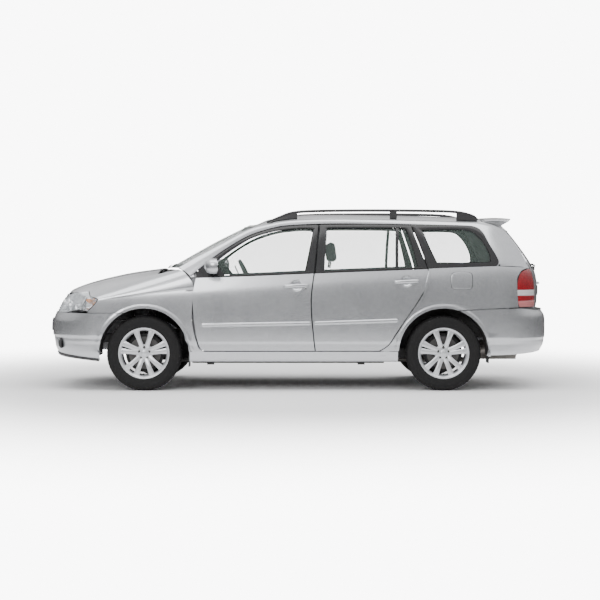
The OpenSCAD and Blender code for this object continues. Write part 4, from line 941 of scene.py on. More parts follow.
def mirrorForms():
    # superellipsoid: x from sin(phi), y and z from cos(phi) round the rim; its rear is drawn in flat
    u = np.linspace(0, 2 * math.pi, 56, endpoint=False)[None]
    v = np.linspace(-1, 1, 41)[:, None]
    cx, cy, cz = mirror["centre"]
    a, b, c = mirror["half"]
    phi = v * math.pi / 2
    x = a * signed(np.sin(phi), 0.9) + 0 * u
    y = b * signed(np.cos(phi), 0.62) * signed(np.cos(u), 0.75)
    z = c * signed(np.cos(phi), 0.62) * signed(np.sin(u), 0.75)
    x = np.where(x > 26, 26 + (x - 26) * 0.12, x)
    x = x + 0.16 * np.abs(y) * (y > 0)
    g = np.stack([cx + x, cy + y, cz + z], -1)
    housing = closed(g, gridFaces(41, 56, False, True), 0)
    ring = np.linspace(0, 1, 8)[:, None]
    face = np.stack([cx + 32 + 0.16 * np.clip(ring * 74 * signed(np.cos(u), 0.75), 0, None) + 0 * u,
                     cy + ring * 74 * signed(np.cos(u), 0.75), cz + ring * 50 * signed(np.sin(u), 0.75)], -1)
    plate = np.concatenate([face, (face - [6, 0, 0])[::-1]])
    glass = closed(plate, gridFaces(16, 56, False, True), 1)
    arm = np.array([[-712, 822, 1030], [-706, 850, 1036], [-700, 880, 1046], [-696, 905, 1058]], float)
    foot = block([-745, window(-705, 1034) - 2, 1018], [-655, window(-705, 1034) + 14, 1050], 8, 2)
    return [housing, glass, tube(steps(arm, 14), 17, 20, 2, 0.8), foot]


def window(x, z):
    return float(windowY(np.float64(x), np.float64(z)))


forms = mirrorForms()
for side, made in (("left", mirrored(forms)), ("right", forms)):
    makePiece(f"doorMirror_{side}", made, f"front_door_{side}", "paint mirror black",
              [f"door_mirror_{side}"], crease=50)
print("doors made")

# glass, bonnet, bumpers

z = np.linspace(wagon["screenFoot"], wagon["screenTop"], 41)[None]
s = np.linspace(-1, 1, 49)[:, None]
rise = z - wagon["screenFoot"]
tall = wagon["screenTop"] - wagon["screenFoot"]
y = mix(726, wagon["screenHalfTop"], rise / tall) * s
screenGrid = grid(screenX(y, z), y, z - 26 * s ** 2 * rise / tall)
makePiece("windscreen", [panel(screenGrid, 5)], "body", "glass", ["windscreen"])
# the black band round the glass, on its inside
inset = sunk(screenGrid, 7)
bands = [inset[:, :4], inset[:, -5:], inset[:4], inset[-4:]]
makePiece("windscreenBand", [panel(b, 1.5) for b in bands], "body", "gloss")

quarterPane = fill(steps([[1252.4, 1113.4], [1310, 1113.4], [1480, 1114], [1693, 1115]], 36),
                   steps([[1133.4, 1389], [1200, 1396], [1450, 1399], [1540, 1387], [1596, 1351],
                          [1658, 1277], [1704, 1184]], 36),
                   steps([[1252.4, 1113.4], [1228.4, 1166], [1185.4, 1270], [1133.4, 1389]], 24),
                   steps([[1693, 1115], [1708, 1140], [1704, 1184]], 24))
makePiece("quarterWindows", bothSides([shell(onWindow(quarterPane, 8), onWindow(quarterPane, 13))]), "body",
          "glass", ["quarter_windows"])

s = np.linspace(-1, 1, 81)[None]
t = np.linspace(0, 1, 71)[:, None]
bonnetShape = {"front": -2066, "sweep": 190, "back": -1194, "swage": 3.0, "swageWidth": 26, "roll": 9.0,
               "thick": 12}
x = mix(bonnetShape["front"] + bonnetShape["sweep"] * np.abs(s) ** 2.6, bonnetShape["back"], t)
y = curve(lines["bonnetHalf"], x) * s
z = bonnetZ(x, y)
# two raised swages run back from the nose, and the front edge rolls down
swage = bonnetShape["swage"] * np.exp(-((np.abs(y) - mix(300, 470, t))
                                        / bonnetShape["swageWidth"]) ** 2) * smooth(t * 6)
roll = bonnetShape["roll"] * smooth(1 - t * 28)
bonnetGrid = np.stack([x, y, z + swage - roll], -1)
bonnetForms = [panel(bonnetGrid, bonnetShape["thick"])]
for y0 in (-270, 250):
    bonnetForms.append(tube([[-1198, y0, 1028], [-1198, y0 + 20, 1028]], 6, 16, 1))
    bonnetForms.append(block([-1212, y0, 1024], [-1194, y0 + 20, 1050], 3, 1))
under = bonnetGrid[8:-6, 14:-14]
bonnetForms.append(panel(sunk(under, 15), 4, 1))
makePiece("bonnet", bonnetForms, "bonnet", "paint under", ["bonnet"], bevel=2.0)


def bumperGrid(end, low, high, across=150, up=36, share=0.82):
    # |s| up to share wraps round the nose or tail as a quarter turn, the rest runs straight to the arch
    s = np.linspace(-1, 1, across + 1)[:, None]
    t = np.abs(s)
    v = np.linspace(0, 1, up + 1)[None]
    z = mix(low(t), high(t), v)
    turn = np.clip(t / share, 0, 1) * math.pi / 2
    reach = np.sqrt(np.clip(wagon["archRadius"] ** 2 - (z - wagon["hubHeight"]) ** 2, 0, None))
    c = wagon["cornerStart"]
    if end == "front":
        w, n = flank(-c, z), nosePower(z)
        x, y = -c + (curve(lines["nose"], z) + c) * np.cos(turn), w * np.sin(turn) ** (2 / n)
        arm = mix(-c, np.minimum(-wagon["axle"] - reach, -1484), (t - share) / (1 - share))
        side = sideY(arm, z)
    else:
        w = flank(c, z)
        along = np.clip(np.cos(turn), 0, 1) ** (2 / wagon["tailAlong"])
        x = c + (curve(lines["bumperTail"], z) - c) * along
        y = w * np.sin(turn) ** (2 / wagon["tailAcross"])
        arm = mix(c, np.maximum(wagon["axle"] + reach, 1440), (t - share) / (1 - share))
        side = sideY(arm, z, "bumperTail")
    x, y = np.where(t < share, x, arm), np.where(t < share, y + lip(x, z), side)
    return np.stack([x, y * np.sign(s), z], -1)


def noseLine(half, level, inside, n):
    # level line from side to side, so far inside the nose
    y = np.linspace(-half, half, n)
    z = np.full(n, float(level))
    return np.stack([noseX(y, z) + inside, y, z], -1)


def crease(g, level, width, depth):
    # a step across the surface at a height: everything under it is drawn in
    n = normals(g)
    outward = np.sign((n * (g - [0, 0, 500.0]))[..., :2].sum(-1, keepdims=True))
    return g - n * outward * depth * (1 - smooth((g[..., 2:] - level) / width))


front = {"low": lambda t: 316 - 62 * t * t, "high": lambda t: 672 + 0 * t}
frontGrid = crease(bumperGrid("front", front["low"], front["high"]), 458, 14, 6)
rear = {"low": lambda t: 330 - 40 * t * t,
        "high": lambda t: curve([[0, 690], [0.4, 700], [0.62, 716], [0.78, 706], [1, 691]], t)}
rearGrid = crease(bumperGrid("rear", rear["low"], rear["high"], share=0.78), 436, 12, 6)


def without(g, hidden, depth, look=0):
    # a panel with some of its cells left out, and walls round the hole's edge
    p, f, l = panel(g, depth, look)
    n, m = g.shape[:2]
    both = np.concatenate([hidden.reshape(-1)] * 2)
    keep = ~both[f].all(1)
    cell = hidden[:-1, :-1] & hidden[1:, :-1] & hidden[:-1, 1:] & hidden[1:, 1:]
    pad = np.zeros((cell.shape[0] + 2, cell.shape[1] + 2), bool)
    pad[1:-1, 1:-1] = cell
    k = n * m
    quads = []
    # the cell beyond each of its four edges, and that edge's first and second corner
    for du, dv, i0, j0, i1, j1 in ((-1, 0, 0, 0, 0, 1), (1, 0, 1, 1, 1, 0), (0, -1, 1, 0, 0, 0),
                                   (0, 1, 0, 1, 1, 1)):
        edge = cell & ~pad[1 + du:1 + du + cell.shape[0], 1 + dv:1 + dv + cell.shape[1]]
        i, j = np.nonzero(edge)
        a, b = (i + i0) * m + j + j0, (i + i1) * m + j + j1
        quads.append(np.stack([a, b, b + k, a + k], -1))
    walls = np.concatenate(quads)
    # of the two ways to turn the walls, the one with the greater volume points outwards
    one, other = np.concatenate([f[keep], walls]), np.concatenate([f[keep], walls[:, ::-1]])
    return (p, other if volume(p - p.mean(0), one) < volume(p - p.mean(0), other) else one, l)


intakeHole = {"half": 440, "low": 368, "high": 466, "behind": -1900, "bars": (380, 402, 424, 446),
              "barHalf": 446}
fogLamp = {"y": 605, "z": 406, "radius": 36, "holeHalf": (62, 46), "behind": -1750, "dishHalf": (66, 48)}
x, y, z = frontGrid[..., 0], np.abs(frontGrid[..., 1]), frontGrid[..., 2]
intake = (y < intakeHole["half"]) & (x < intakeHole["behind"])
intake &= (z > intakeHole["low"]) & (z < intakeHole["high"])
fog = ((y - fogLamp["y"]) / fogLamp["holeHalf"][0]) ** 4
fog = fog + ((z - fogLamp["z"]) / fogLamp["holeHalf"][1]) ** 4 < 1
frontForms = [without(frontGrid, intake | (fog & (x < fogLamp["behind"])), 18)]
# the black lower lip and the bars of the air intake
lowLip = bumperGrid("front", lambda t: 300 - 56 * t * t, lambda t: 322 - 62 * t * t, up=4)
frontForms.append(panel(lowLip[12:-12] - [0, 0, 8], 14, 1))
for level in intakeHole["bars"]:
    frontForms.append(tube(noseLine(intakeHole["barHalf"], level, 30, 40), 7, 10, 1))
plateHold = {"half": 260, "low": 500, "high": 612, "flatness": 0.6, "proud": 9}
y = np.linspace(-plateHold["half"], plateHold["half"], 31)[:, None]
z = np.linspace(plateHold["low"], plateHold["high"], 9)[None]
plateGrid = grid(noseX(y * plateHold["flatness"], z + 0 * y) - plateHold["proud"], y, z)
frontForms += [pushed(plateGrid + [3, 0, 0], [34, 0, 0], 1), pushed(plateGrid[1:-1, 1:-1], [4, 0, 0], 2)]
makePiece("frontBumper", frontForms, "body", "paint black plate",
          ["front_bumper"], bevel=1.6)
rearForms = [panel(rearGrid, 18)]
step = bumperGrid("rear", lambda t: rear["high"](t) - 6, lambda t: rear["high"](t) + 2, share=0.78, up=3)
rearForms.append(panel(step[22:-22] + [-4, 0, 3], 10, 1))
makePiece("rearBumper", rearForms, "body", "paint black", ["rear_bumper"], bevel=1.6)

# grille: a dark hollow with slats that follow the nose
grilleSize = {"half": 430, "low": 668, "high": 818, "deep": 42, "slats": (684, 806, 7),
              "posts": (-430, -215, 0, 215, 430)}
y = np.linspace(-grilleSize["half"], grilleSize["half"], 49)[:, None]
z = np.linspace(grilleSize["low"], grilleSize["high"], 9)[None]
hollow = grid(noseX(y, z + 0 * y) + grilleSize["deep"], y, z)
grilleForms = [pushed(hollow, [10, 0, 0], 1)]
for level in np.linspace(*grilleSize["slats"]):
    grilleForms.append(tube(noseLine(grilleSize["half"] - 2, level, 14, 60), 7.5, 12, 0, 0.7, up=(1, 0, 0)))
for y0 in grilleSize["posts"]:
    z1 = np.linspace(672, 816, 14)
    grilleForms.append(tube(np.stack([noseX(np.full(14, float(y0)), z1) + 18, np.full(14, float(y0)), z1],
                                     -1), 6, 10, 0))
# painted surround along the top edge
y1 = np.linspace(-436, 436, 80)
surround = grid(noseX(y1, np.full(80, 818.0)) + 12, y1, 819.0)
grilleForms.append(tube(surround, 9, 14, 2, 0.8))
makePiece("grille", grilleForms, "body", "gloss seal paint", ["grille"])
print("bonnet, bumpers and grille made")

# lamps

lampLooks = "clearLens chrome orangeLens black whiteLens"
headLamp = {
    "stations": [[445, 672.6, 812], [520, 672.6, 836], [600, 672.6, 848], [680, 676, 846], [745, 690, 832],
                 [795, 702, 818]],
    "bowls": ((520, 745, 46), (632, 752, 50)), "cornerPuff": 16, "edge": 3.6,
}


def headGrid(n=48, m=26):
    # on the nose, between a lower and an upper line from stations of [y, lowest z, highest z]
    st = np.asarray(headLamp["stations"], float)
    y = np.linspace(st[0, 0], st[-1, 0], n + 1)
    low, high = curve(st[:, [0, 1]], y), curve(st[:, [0, 2]], y)
    z = mix(low[:, None], high[:, None], np.linspace(0, 1, m + 1)[None])
    y = y[:, None] + 0 * z
    return np.stack([noseX(y, z), y, z], -1)


lens = headGrid()
u, v = np.linspace(-1, 1, lens.shape[0])[:, None], np.linspace(-1, 1, lens.shape[1])[None]
bowl = 44 * (1 - u ** 6) * (1 - v ** 6)
housing = lens + np.stack([14 + bowl, -0.3 * bowl - 4, 0 * bowl], -1)
headForms = [pushed(lens + [2, 0, 0], [4, -2, 0], 0), shell(housing, housing + [6, -3, 0], 1)]
for cy, cz, r in headLamp["bowls"]:
    x = float(noseX(np.float64(cy), np.float64(cz))) + 46
    cone = [(r * q, -30 * q * q) for q in np.linspace(0.12, 1, 14)]
    back = [(r * q, 3 - 30 * q * q) for q in np.linspace(1, 0.12, 14)]
    headForms.append(lathe(cone + back, [x, cy, cz], 48, 1, "x"))
    headForms.append(tube([[x - 4, cy, cz], [x - 22, cy, cz]], 8, 16, 4))
# the rear of the lamp: straight lines from the front lens's edge to the wing's edge, puffed by 4s(1 - s)
topStart = 25
nearEdge = np.concatenate([lens[topStart:, -1], lens[-1, ::-1][1:]])
farEdge = np.concatenate([steps(wingGrid[0, :12], lens.shape[0] - topStart - 1, True),
                          steps(wingGrid[0, 11:52], lens.shape[1] - 1, True)[1:]])
s = np.linspace(0, 0.97, 25)[:, None, None]
corner = mix(nearEdge[None], farEdge[None], s)
corner = corner + np.array([-0.2, 0.6, 0.7]) * headLamp["cornerPuff"] * s * (1 - s)
hollow = np.linspace(-1, 1, corner.shape[1])[None, :, None]
depth = 10 + 34 * (1 - hollow ** 6) * np.clip(1 - (s / 0.97) ** 4, 0, 1)
inward = np.array([0.45, -0.75, -0.35])
headForms.append(pushed(corner, inward * 4, 0))
headForms.append(shell(corner + inward * depth, corner + inward * (depth + 5), 1))
headForms.append(tube([[-1758, 782, 776], [-1774, 790, 779], [-1792, 792, 781], [-1802, 792, 782]],
                      [12, 20, 18, 9], 24, 2))
for line in (corner[-1], np.concatenate([lens[::-1, 0], lens[0, 1:], lens[1:topStart + 1, -1]]) + [9, 0, 0]):
    headForms.append(tube(line, headLamp["edge"], 8, 3))


def fogForms():
    # bowl by a parabola, lens, rim, and a dish of rounded squares by angle, drawn in to its middle
    cy, cz, r = fogLamp["y"], fogLamp["z"], fogLamp["radius"]
    x = float(noseX(np.float64(cy), np.float64(cz))) + 26
    bowl = [(r * q, -16 * q * q) for q in np.linspace(0.1, 1, 10)]
    back = [(r * q, 3 - 16 * q * q) for q in np.linspace(1, 0.1, 10)]
    lens = [(0.1, -22), (r * 0.7, -21), (r, -16), (r, -13), (0.1, -17)]
    rim = [(r, -18), (r + 5, -20), (r + 8, -14), (r + 4, 0), (r, 0)]
    forms = [lathe(line, [x, cy, cz], 48, look, "x") for line,
             look in ((bowl + back, 1), (lens, 0), (rim, 3))]
    n = np.linspace(0, 2 * math.pi, 48, endpoint=False)
    wide, tall = fogLamp["dishHalf"]
    dish = [grid(x + depth, cy + wide * k * signed(np.cos(n), 0.6), cz + tall * k * signed(np.sin(n), 0.6))
            for k, depth in ((1.0, -8), (0.9, 2), (0.6, 12), (0.01, 12), (0.01, 16), (0.62, 16), (1.0, 4))]
    return forms + [closed(np.stack(dish), gridFaces(7, 48, True, True), 3)]


headForms += fogForms()
makePiece("headLamps", bothSides(headForms), "body", lampLooks, ["head_lamps"], crease=50)

tailLamp = {"bands": [(724, 778, 2), (778, 825, 0), (825, 874, 1), (874, 1056, 0)], "front":
            [[724, 1960], [764, 1948], [923, 1942], [996, 1960], [1036, 1992], [1056, 2052]]}


def tailGrid(z0, z1, n=30, m=18):
    z = np.linspace(z0, z1, m + 1)[None]
    f = curve(tailLamp["front"], z)
    y1 = mix(652, 676, (z - 724) / 332)
    u = np.linspace(0, 1, n + 1)[:, None]
    y = mix(sideY(f, z) , y1, u)
    x = np.maximum(tailX(y, z), f)
    x = np.where(u == 0, f, x)
    return np.stack([x, y, z + 0 * y], -1)


tailForms = []
for z0, z1, look in tailLamp["bands"]:
    g = tailGrid(z0 + 0.7, z1 - 0.7)
    u = np.linspace(0, 1, g.shape[0])[:, None, None]
    v = np.linspace(-1, 1, g.shape[1])[None, :, None]
    puff = 2.5 * (1 - v ** 6) * np.clip(1 - (2 * u - 1) ** 8, 0, 1)
    outer = g + np.concatenate([0.7 * puff * (0.3 + u), 0.7 * puff * (1 - 0.5 * u), 0 * puff], -1)
    inward = np.concatenate([24 * u + 0 * v, 26 * (1 - u) + 0 * v, 0 * u * v], -1)
    tailForms.append(shell(outer, g - inward, look))
full = tailGrid(724, 1056)
rim = np.concatenate([full[:, 0], full[-1, 1:], full[::-1, -1][1:], full[0, ::-1][1:]])
tailForms.append(tube(rim - [6, 5, 0], 5, 8, 3))
makePiece("tailLamps", bothSides(tailForms), "body", "redLens whiteLens pinkLens seal",
          ["tail_lamps"], crease=50, bevel=1.0)

# tailgate

gateForms = [panel(gateGrid(0, 3.1, -1, 1, 24, 40), 34), panel(gateGrid(6.2, 11, -1, 1, 44, 60), 46)]
gateForms += bothSides([panel(gateGrid(2.9, 6.4, 0.86, 1, 40, 6), 34)])
# number plate recess with its plate, lit by a bar with the handle in it
plate = gatePoint(np.linspace(8.35, 9.35, 9)[:, None], np.linspace(-0.42, 0.42, 31)[None])
gateForms += [pushed(plate + [7, 0, 0], [-9, 0, 0], 1),
              pushed(plate[1:-1, 1:-1] + [9.5, 0, 0], [-3, 0, 0], 2)]
bar = gatePoint(np.full(41, 8.15), np.linspace(-0.5, 0.5, 41))
gateForms.append(tube(bar + [8, 0, 0], 17, 20, 0, 0.7))
# seals round the glass, whose edges are these shares of the half width
y0, y1 = -0.86, 0.86
for s0 in (y0, y1):
    seal = gatePoint(np.linspace(2.95, 6.35, 40), np.full(40, s0 * 0.99)) + [0, 0, 1]
    gateForms.append(tube(seal, 6, 8, 3))
for v0 in (3.1, 6.2):
    gateForms.append(tube(gatePoint(np.full(50, v0), np.linspace(y0, y1, 50)) + [0, 0, 1], 6, 8, 3))
for yh in (-220, 240):
    gateForms.append(tube([[1680, yh, 1505], [1680, yh + 16, 1505]], 5, 16, 3))
# rear wiper: knob, arm and blade
knob = gatePoint(np.float64(6.55), np.float64(0.0)) + [14, 0, 4]
tip = gatePoint(np.float64(6.0), np.float64(-0.55)) + [22, 0, 6]
gateForms.append(tube([knob - [14, 0, 2], knob, knob + [14, 0, 3]], [24, 22, 16], 24, 3))
arm = steps([knob + [8, 0, 4], mix(knob, tip, 0.5) + [10, 0, 8], tip], 16)
gateForms.append(tube(arm, [9.0] * 6 + [6.0] * 11, 12, 3, 0.6))
blade = gatePoint(np.linspace(6.02, 5.9, 30), np.linspace(-0.72, -0.1, 30)) + [13, 0, 3]
gateForms.append(tube(blade, 6, 8, 3, 1.6))
makePiece("tailgate", gateForms, "tailgate", "paint black plate seal",
          ["tailgate"], bevel=2.0)
pane3 = sunk(gateGrid(3.125, 6.176, -0.856, 0.856, 40, 50), 4)
makePiece("tailgateGlass", [panel(pane3, 5)], "tailgate", "glass", ["tailgate_glass"])
rim3 = sunk(pane3, 6)
makePiece("tailgateBand", [panel(b, 1.5) for b in (rim3[:5], rim3[-5:], rim3[:, :5], rim3[:, -5:])],
          "tailgate",
          "gloss")

s = np.linspace(-0.97, 0.97, 61)[None]
v = np.linspace(0.3, 2.35, 31)[:, None]
low = gatePoint(v, s) + [0, 0, 1.6]
t = np.linspace(0, 1, 31)[:, None]
y = mix(low[0][None, :, 1], low[-1][None, :, 1], t)
tip = 1980 - 0.00024 * y * y
top = np.stack([mix(low[0][None, :, 0], tip, t), y,
                low[0][None, :, 2] + 5 + 12 * np.sin(np.radians(140 * t)) - 12 * t], -1)
makePiece("rearSpoiler", [shell(top, low)], "tailgate", "paint", ["rear_spoiler"], bevel=3.0)

# fuel flap: a rounded square by radius and angle
flap = {"centre": (1456.5, 953), "half": (91.5, 73), "corner": 0.42}
a = np.linspace(0, 2 * math.pi, 96, endpoint=False)[None]
r = np.array([0.001, 0.2, 0.4, 0.6, 0.8, 0.92, 0.97, 1.0])[:, None]
ex = flap["corner"]
fx = flap["centre"][0] + flap["half"][0] * r * signed(np.cos(a), ex)
fz = flap["centre"][1] + flap["half"][1] * r * signed(np.sin(a), ex)
fy = sideY(fx, fz) + 1.6 - 1.4 * (r > 0.985)
outer = np.stack([fx, fy, fz], -1)
cover = np.concatenate([outer, (outer - [0, 3.5, 0])[::-1]])
flapForms = [closed(cover, gridFaces(16, 96, False, True), 0),
             tube([[1372, 845, 884], [1372, 845, 1022]], 3, 10, 1)]
makePiece("fuelFlap", mirrored(flapForms), "fuel_flap", "paint black", ["fuel_flap"])
k = np.array([1.045, 1.0, 0.93, 0.5, 0.001])[:, None]
ground = [flap["centre"][0] + flap["half"][0] * k * signed(np.cos(a), ex),
          flap["centre"][1] + flap["half"][1] * k * signed(np.sin(a), ex)]
well = np.stack([ground[0], sideY(*ground) + np.array([0.5, 0.5, 0.6, 0.6, 0.6])[:, None], ground[1]], -1)
wellForms = [closed(np.concatenate([well, (well - [0, 3, 0])[::-1]]), gridFaces(10, 96, False, True), 0)]
makePiece("fuelWell", mirrored(wellForms), "body", "seal black")

# rails and wipers

railLine = [[-236, 1468], [-120, 1516], [-10, 1553], [200, 1568], [700, 1573], [1200, 1569], [1450, 1558],
            [1580, 1528], [1626, 1494]]
rail = steps([[x, wagon["railY"], z] for x, z in railLine], 90)
railR = 15 - 3 * np.abs(np.linspace(-1, 1, 91)) ** 8
railForms = [tube(rail, railR, 20, 0, 0.85)]
for x0, x1 in ((-234, 30), (850, 912), (1440, 1624)):
    x = np.linspace(x0, x1, 25)
    base = roofZ(x, wagon["railY"]) + 1
    topZ = curve(railLine, x) - 4
    u = np.linspace(-1, 1, 9)[None]
    foot = grid(x[:, None], wagon["railY"] + 17 * u, base[:, None])
    head = grid(x[:, None], wagon["railY"] + 11 * u, np.maximum(topZ, base + 4)[:, None] + 2 * (1 - u * u))
    railForms.append(shell(head, foot))
makePiece("roofRails", bothSides(railForms), "body", "black", ["roof_rails"], bevel=1.5,
          crease=60)


def wiperPoint(y, rise):
    # a point in front of the screen, so far above its foot
    return np.stack([screenX(y, 1066 + rise) - 30, y, 1066 + rise + 0 * y], -1)


wiperForms = []
for y0 in (-430.0, 150.0):
    u = np.linspace(0, 1, 24)
    armLine = wiperPoint(y0 + 260 * u, 24 * u)
    wiperForms.append(tube(armLine, 8 - 3 * u, 12, 0, 0.6))
    bladeY = y0 + 20 + 430 * u
    wiperForms.append(tube(wiperPoint(bladeY, 10 + 26 * u) + [13, 0, -8], 4, 8, 0, 2.0))
    pivotX = wiperPoint(np.float64(y0), 0.0)[0]
    wiperForms.append(tube([[pivotX, y0, 1040], [pivotX, y0, 1074]], [12, 10], 24, 0))
makePiece("wipers", wiperForms, "body", "black", ["wipers"])
print("lamps, tailgate, rails and wipers made")

# wheels and tyres

wheelSet = {
    "tyreRadius": 325.0, "tyreHalf": 102.5, "rimRadius": 222.0, "blocks": 60, "grooves": (-58, -22, 22, 58),
    "grooveWidth": 5.0,
    "grooveDepth": 6.0, "hubY": 60.0, "legStart": 50, "legInset": 16, "boltCircle": 51,
    "pairs": (90.0, 164.5, 235.5, 304.5, 15.5), "spread": (19.5, 10, 14.5, 14.5, 10),
}


def tyreForm():
    # section carried round; the tread is cut by rings and by slanting sipes, the walls have faint ribs
    w, R, rim = wheelSet["tyreHalf"], wheelSet["tyreRadius"], wheelSet["rimRadius"]
    section = steps([[rim - 6, -w + 16], [rim + 10, -w + 5], [rim + 50, -w], [R - 36, -w + 2],
                     [R - 13, -w + 12], [R - 3, -w + 30]], 26)
    treadY = np.linspace(-w + 32, w - 32, 73)
    tread = np.stack([R - 1.6 * np.abs(treadY / (w - 32)) ** 2.5, treadY], -1)
    other = section[::-1] * [1, -1]
    inside = steps([[rim - 6, w - 16], [rim + 6, w - 30], [rim + 8, 0], [rim + 6, -w + 30],
                    [rim - 6, -w + 16]], 12)[1:-1]
    p = np.concatenate([section, tread, other, inside])
    n = wheelSet["blocks"] * 6
    a = np.linspace(0, 2 * math.pi, n, endpoint=False)[:, None]
    r, h = p[None, :, 0] + 0 * a, p[None, :, 1] + 0 * a
    onTread = np.zeros(len(p), bool)
    onTread[len(section):len(section) + 73] = True
    ring = sum(np.exp(-((h - g) / wheelSet["grooveWidth"]) ** 4) for g in wheelSet["grooves"])
    phase = (a * wheelSet["blocks"] / (2 * math.pi) + np.abs(h) * 0.012) % 1.0
    sipe = (phase < 0.2) * (np.abs(h) > 26)
    r = r - wheelSet["grooveDepth"] * np.clip(ring + 0.8 * sipe, 0, 1) * onTread[None]
    shoulder = (r > R - 22) & ~onTread[None] & (r > rim + 30)
    r = r - 2.5 * ((a * wheelSet["blocks"] / (2 * math.pi)) % 1.0 < 0.2) * shoulder
    rib = (np.abs(h) > w - 8) & (r > rim + 14) & (r < R - 34)
    h = h + np.sign(h) * 0.7 * np.sin(r * 0.75) * rib
    g = np.stack([r * np.cos(a), h, r * np.sin(a)], -1)
    return closed(g, gridFaces(n, len(p), True, True), 0)


def wheelForms():
    # outer face towards +y; every part is about the wheel's own middle
    w, rim = wheelSet["tyreHalf"], wheelSet["rimRadius"]
    barrel = [(rim - 4, w - 10), (rim + 4, w - 12), (rim + 3, w - 16), (rim - 8, w - 22), (rim - 22, w - 40),
              (rim - 26, -30),
              (rim - 18, -w + 24), (rim - 4, -w + 14), (rim - 10, -w + 12), (rim - 24, -w + 24),
              (rim - 32, -30), (rim - 30, w - 44),
              (rim - 17, w - 18), (rim - 9, w - 10)]
    forms = [lathe(steps(barrel + barrel[:1], 60)[:-1], [0, 0, 0], 120, 0)]
    hubY = wheelSet["hubY"]
    # five pairs of legs: each runs from the hub to the rim, wider and deeper at the rim
    near, far = wheelSet["legStart"], rim - wheelSet["legInset"]
    t, s = np.linspace(0, 1, 33), np.linspace(-1, 1, 11)
    for middle, spread in zip(wheelSet["pairs"], wheelSet["spread"]):
        for side in (-1, 1):
            aim = math.radians(middle + side * spread)
            start = math.radians(middle + side * min(spread * 1.15, 22))
            base = np.array([near * math.cos(start), near * math.sin(start)])
            end = np.array([far * math.cos(aim), far * math.sin(aim)])
            line = mix(base[None], end[None], t[:, None])
            y = hubY + 10 * np.sin(math.pi * t) + 16 * t
            along = (end - base) / np.linalg.norm(end - base)
            across = np.array([-along[1], along[0]])
            half = mix(22.0, 28.0, t) - 5 * np.sin(math.pi * t)
            crown = 7 * (1 - s ** 4)
            top, low = (grid(line[:, None, 0] + across[0] * half[:, None] * s[None] * share, level,
                             line[:, None, 1] + across[1] * half[:, None] * s[None] * share)
                        for share, level in ((1, y[:, None] + crown[None] - 6), (0.8, y[:, None] - 28)))
            forms.append(shell(top, low, 0))
    # hub disc with five bolt wells and a plain cap; each well is a flat dark disc round its bolt head,
    # painted shade of the recess
    forms.append(lathe(steps([(0.1, hubY + 2), (30, hubY + 2), (40, hubY + 1), (66, hubY - 2), (74, hubY - 8),
                              (76, hubY - 24),
                              (70, hubY - 30), (0.1, hubY - 30)], 50), [0, 0, 0], 96, 0))
    forms.append(lathe([(0.1, hubY + 9), (16, hubY + 8.6), (25, hubY + 6.5), (28.5, hubY + 3), (28.5, hubY),
                        (0.1, hubY)], [0, 0, 0], 64, 0))
    for angle in (90, 162, 234, 306, 18):
        boltX, boltZ = (wheelSet["boltCircle"] * f(math.radians(angle)) for f in (math.cos, math.sin))
        well = [(0.1, 1.5), (9.6, 1.5), (12.4, 3.4), (13, 0.5), (0.1, 0.5)]
        head = [(0.1, 6.0), (4.5, 5.6), (7.6, 4.2), (7.6, 1), (0.1, 1)]
        # painted shade: a dark disc on the hub's face stands for the shaded recess round each bolt
        forms.append(lathe(well, [boltX, hubY - 0.6, boltZ], 32, 2))
        forms.append(lathe(head, [boltX, hubY - 0.2, boltZ], 6, 1))
    # brake disc, its bell, the thin ring behind it and the valve
    disc = [(72, 6), (138, 6), (139, 4), (139, -14), (138, -16), (72, -16)]
    forms.append(lathe(steps(disc, 40), [0, 0, 0], 96, 1))
    forms.append(lathe([(0.1, 18), (66, 18), (72, 14), (74, -10), (0.1, -10)], [0, 0, 0], 64, 1))
    forms.append(lathe(steps([(136, -2), (167, -2), (168, -4), (167, -6), (136, -6)], 40), [0, 0, 0], 96, 2))
    forms.append(tube([[0, w - 26, -(rim - 34)], [0, w - 12, -(rim - 38)], [0, w + 2, -(rim - 44)]],
                      [4, 4, 5], 12, 2))
    return forms


tyre = [tyreForm()]
wheel = wheelForms()
for end, hubX in (("front", -wagon["axle"]), ("rear", wagon["axle"])):
    for side in ("left", "right"):
        place = [hubX, wagon["wheelY"], wagon["hubHeight"]]
        w1, t1 = moved(wheel, place), moved(tyre, place)
        if side == "left":
            w1, t1 = mirrored(w1), mirrored(t1)
        body = f"{end}_wheel_{side}"
        makePiece(f"{end}Wheel_{side}", w1, body, "alloy disc seal", [body],
                  bevel=1.2, crease=40)
        makePiece(f"{end}Tyre_{side}", t1, body, "tyre", [f"{end}_tyre_{side}"], crease=30)
print("wheels made")

# the cabin

seats = {"channel": 5.0, "pipe": 3.2}


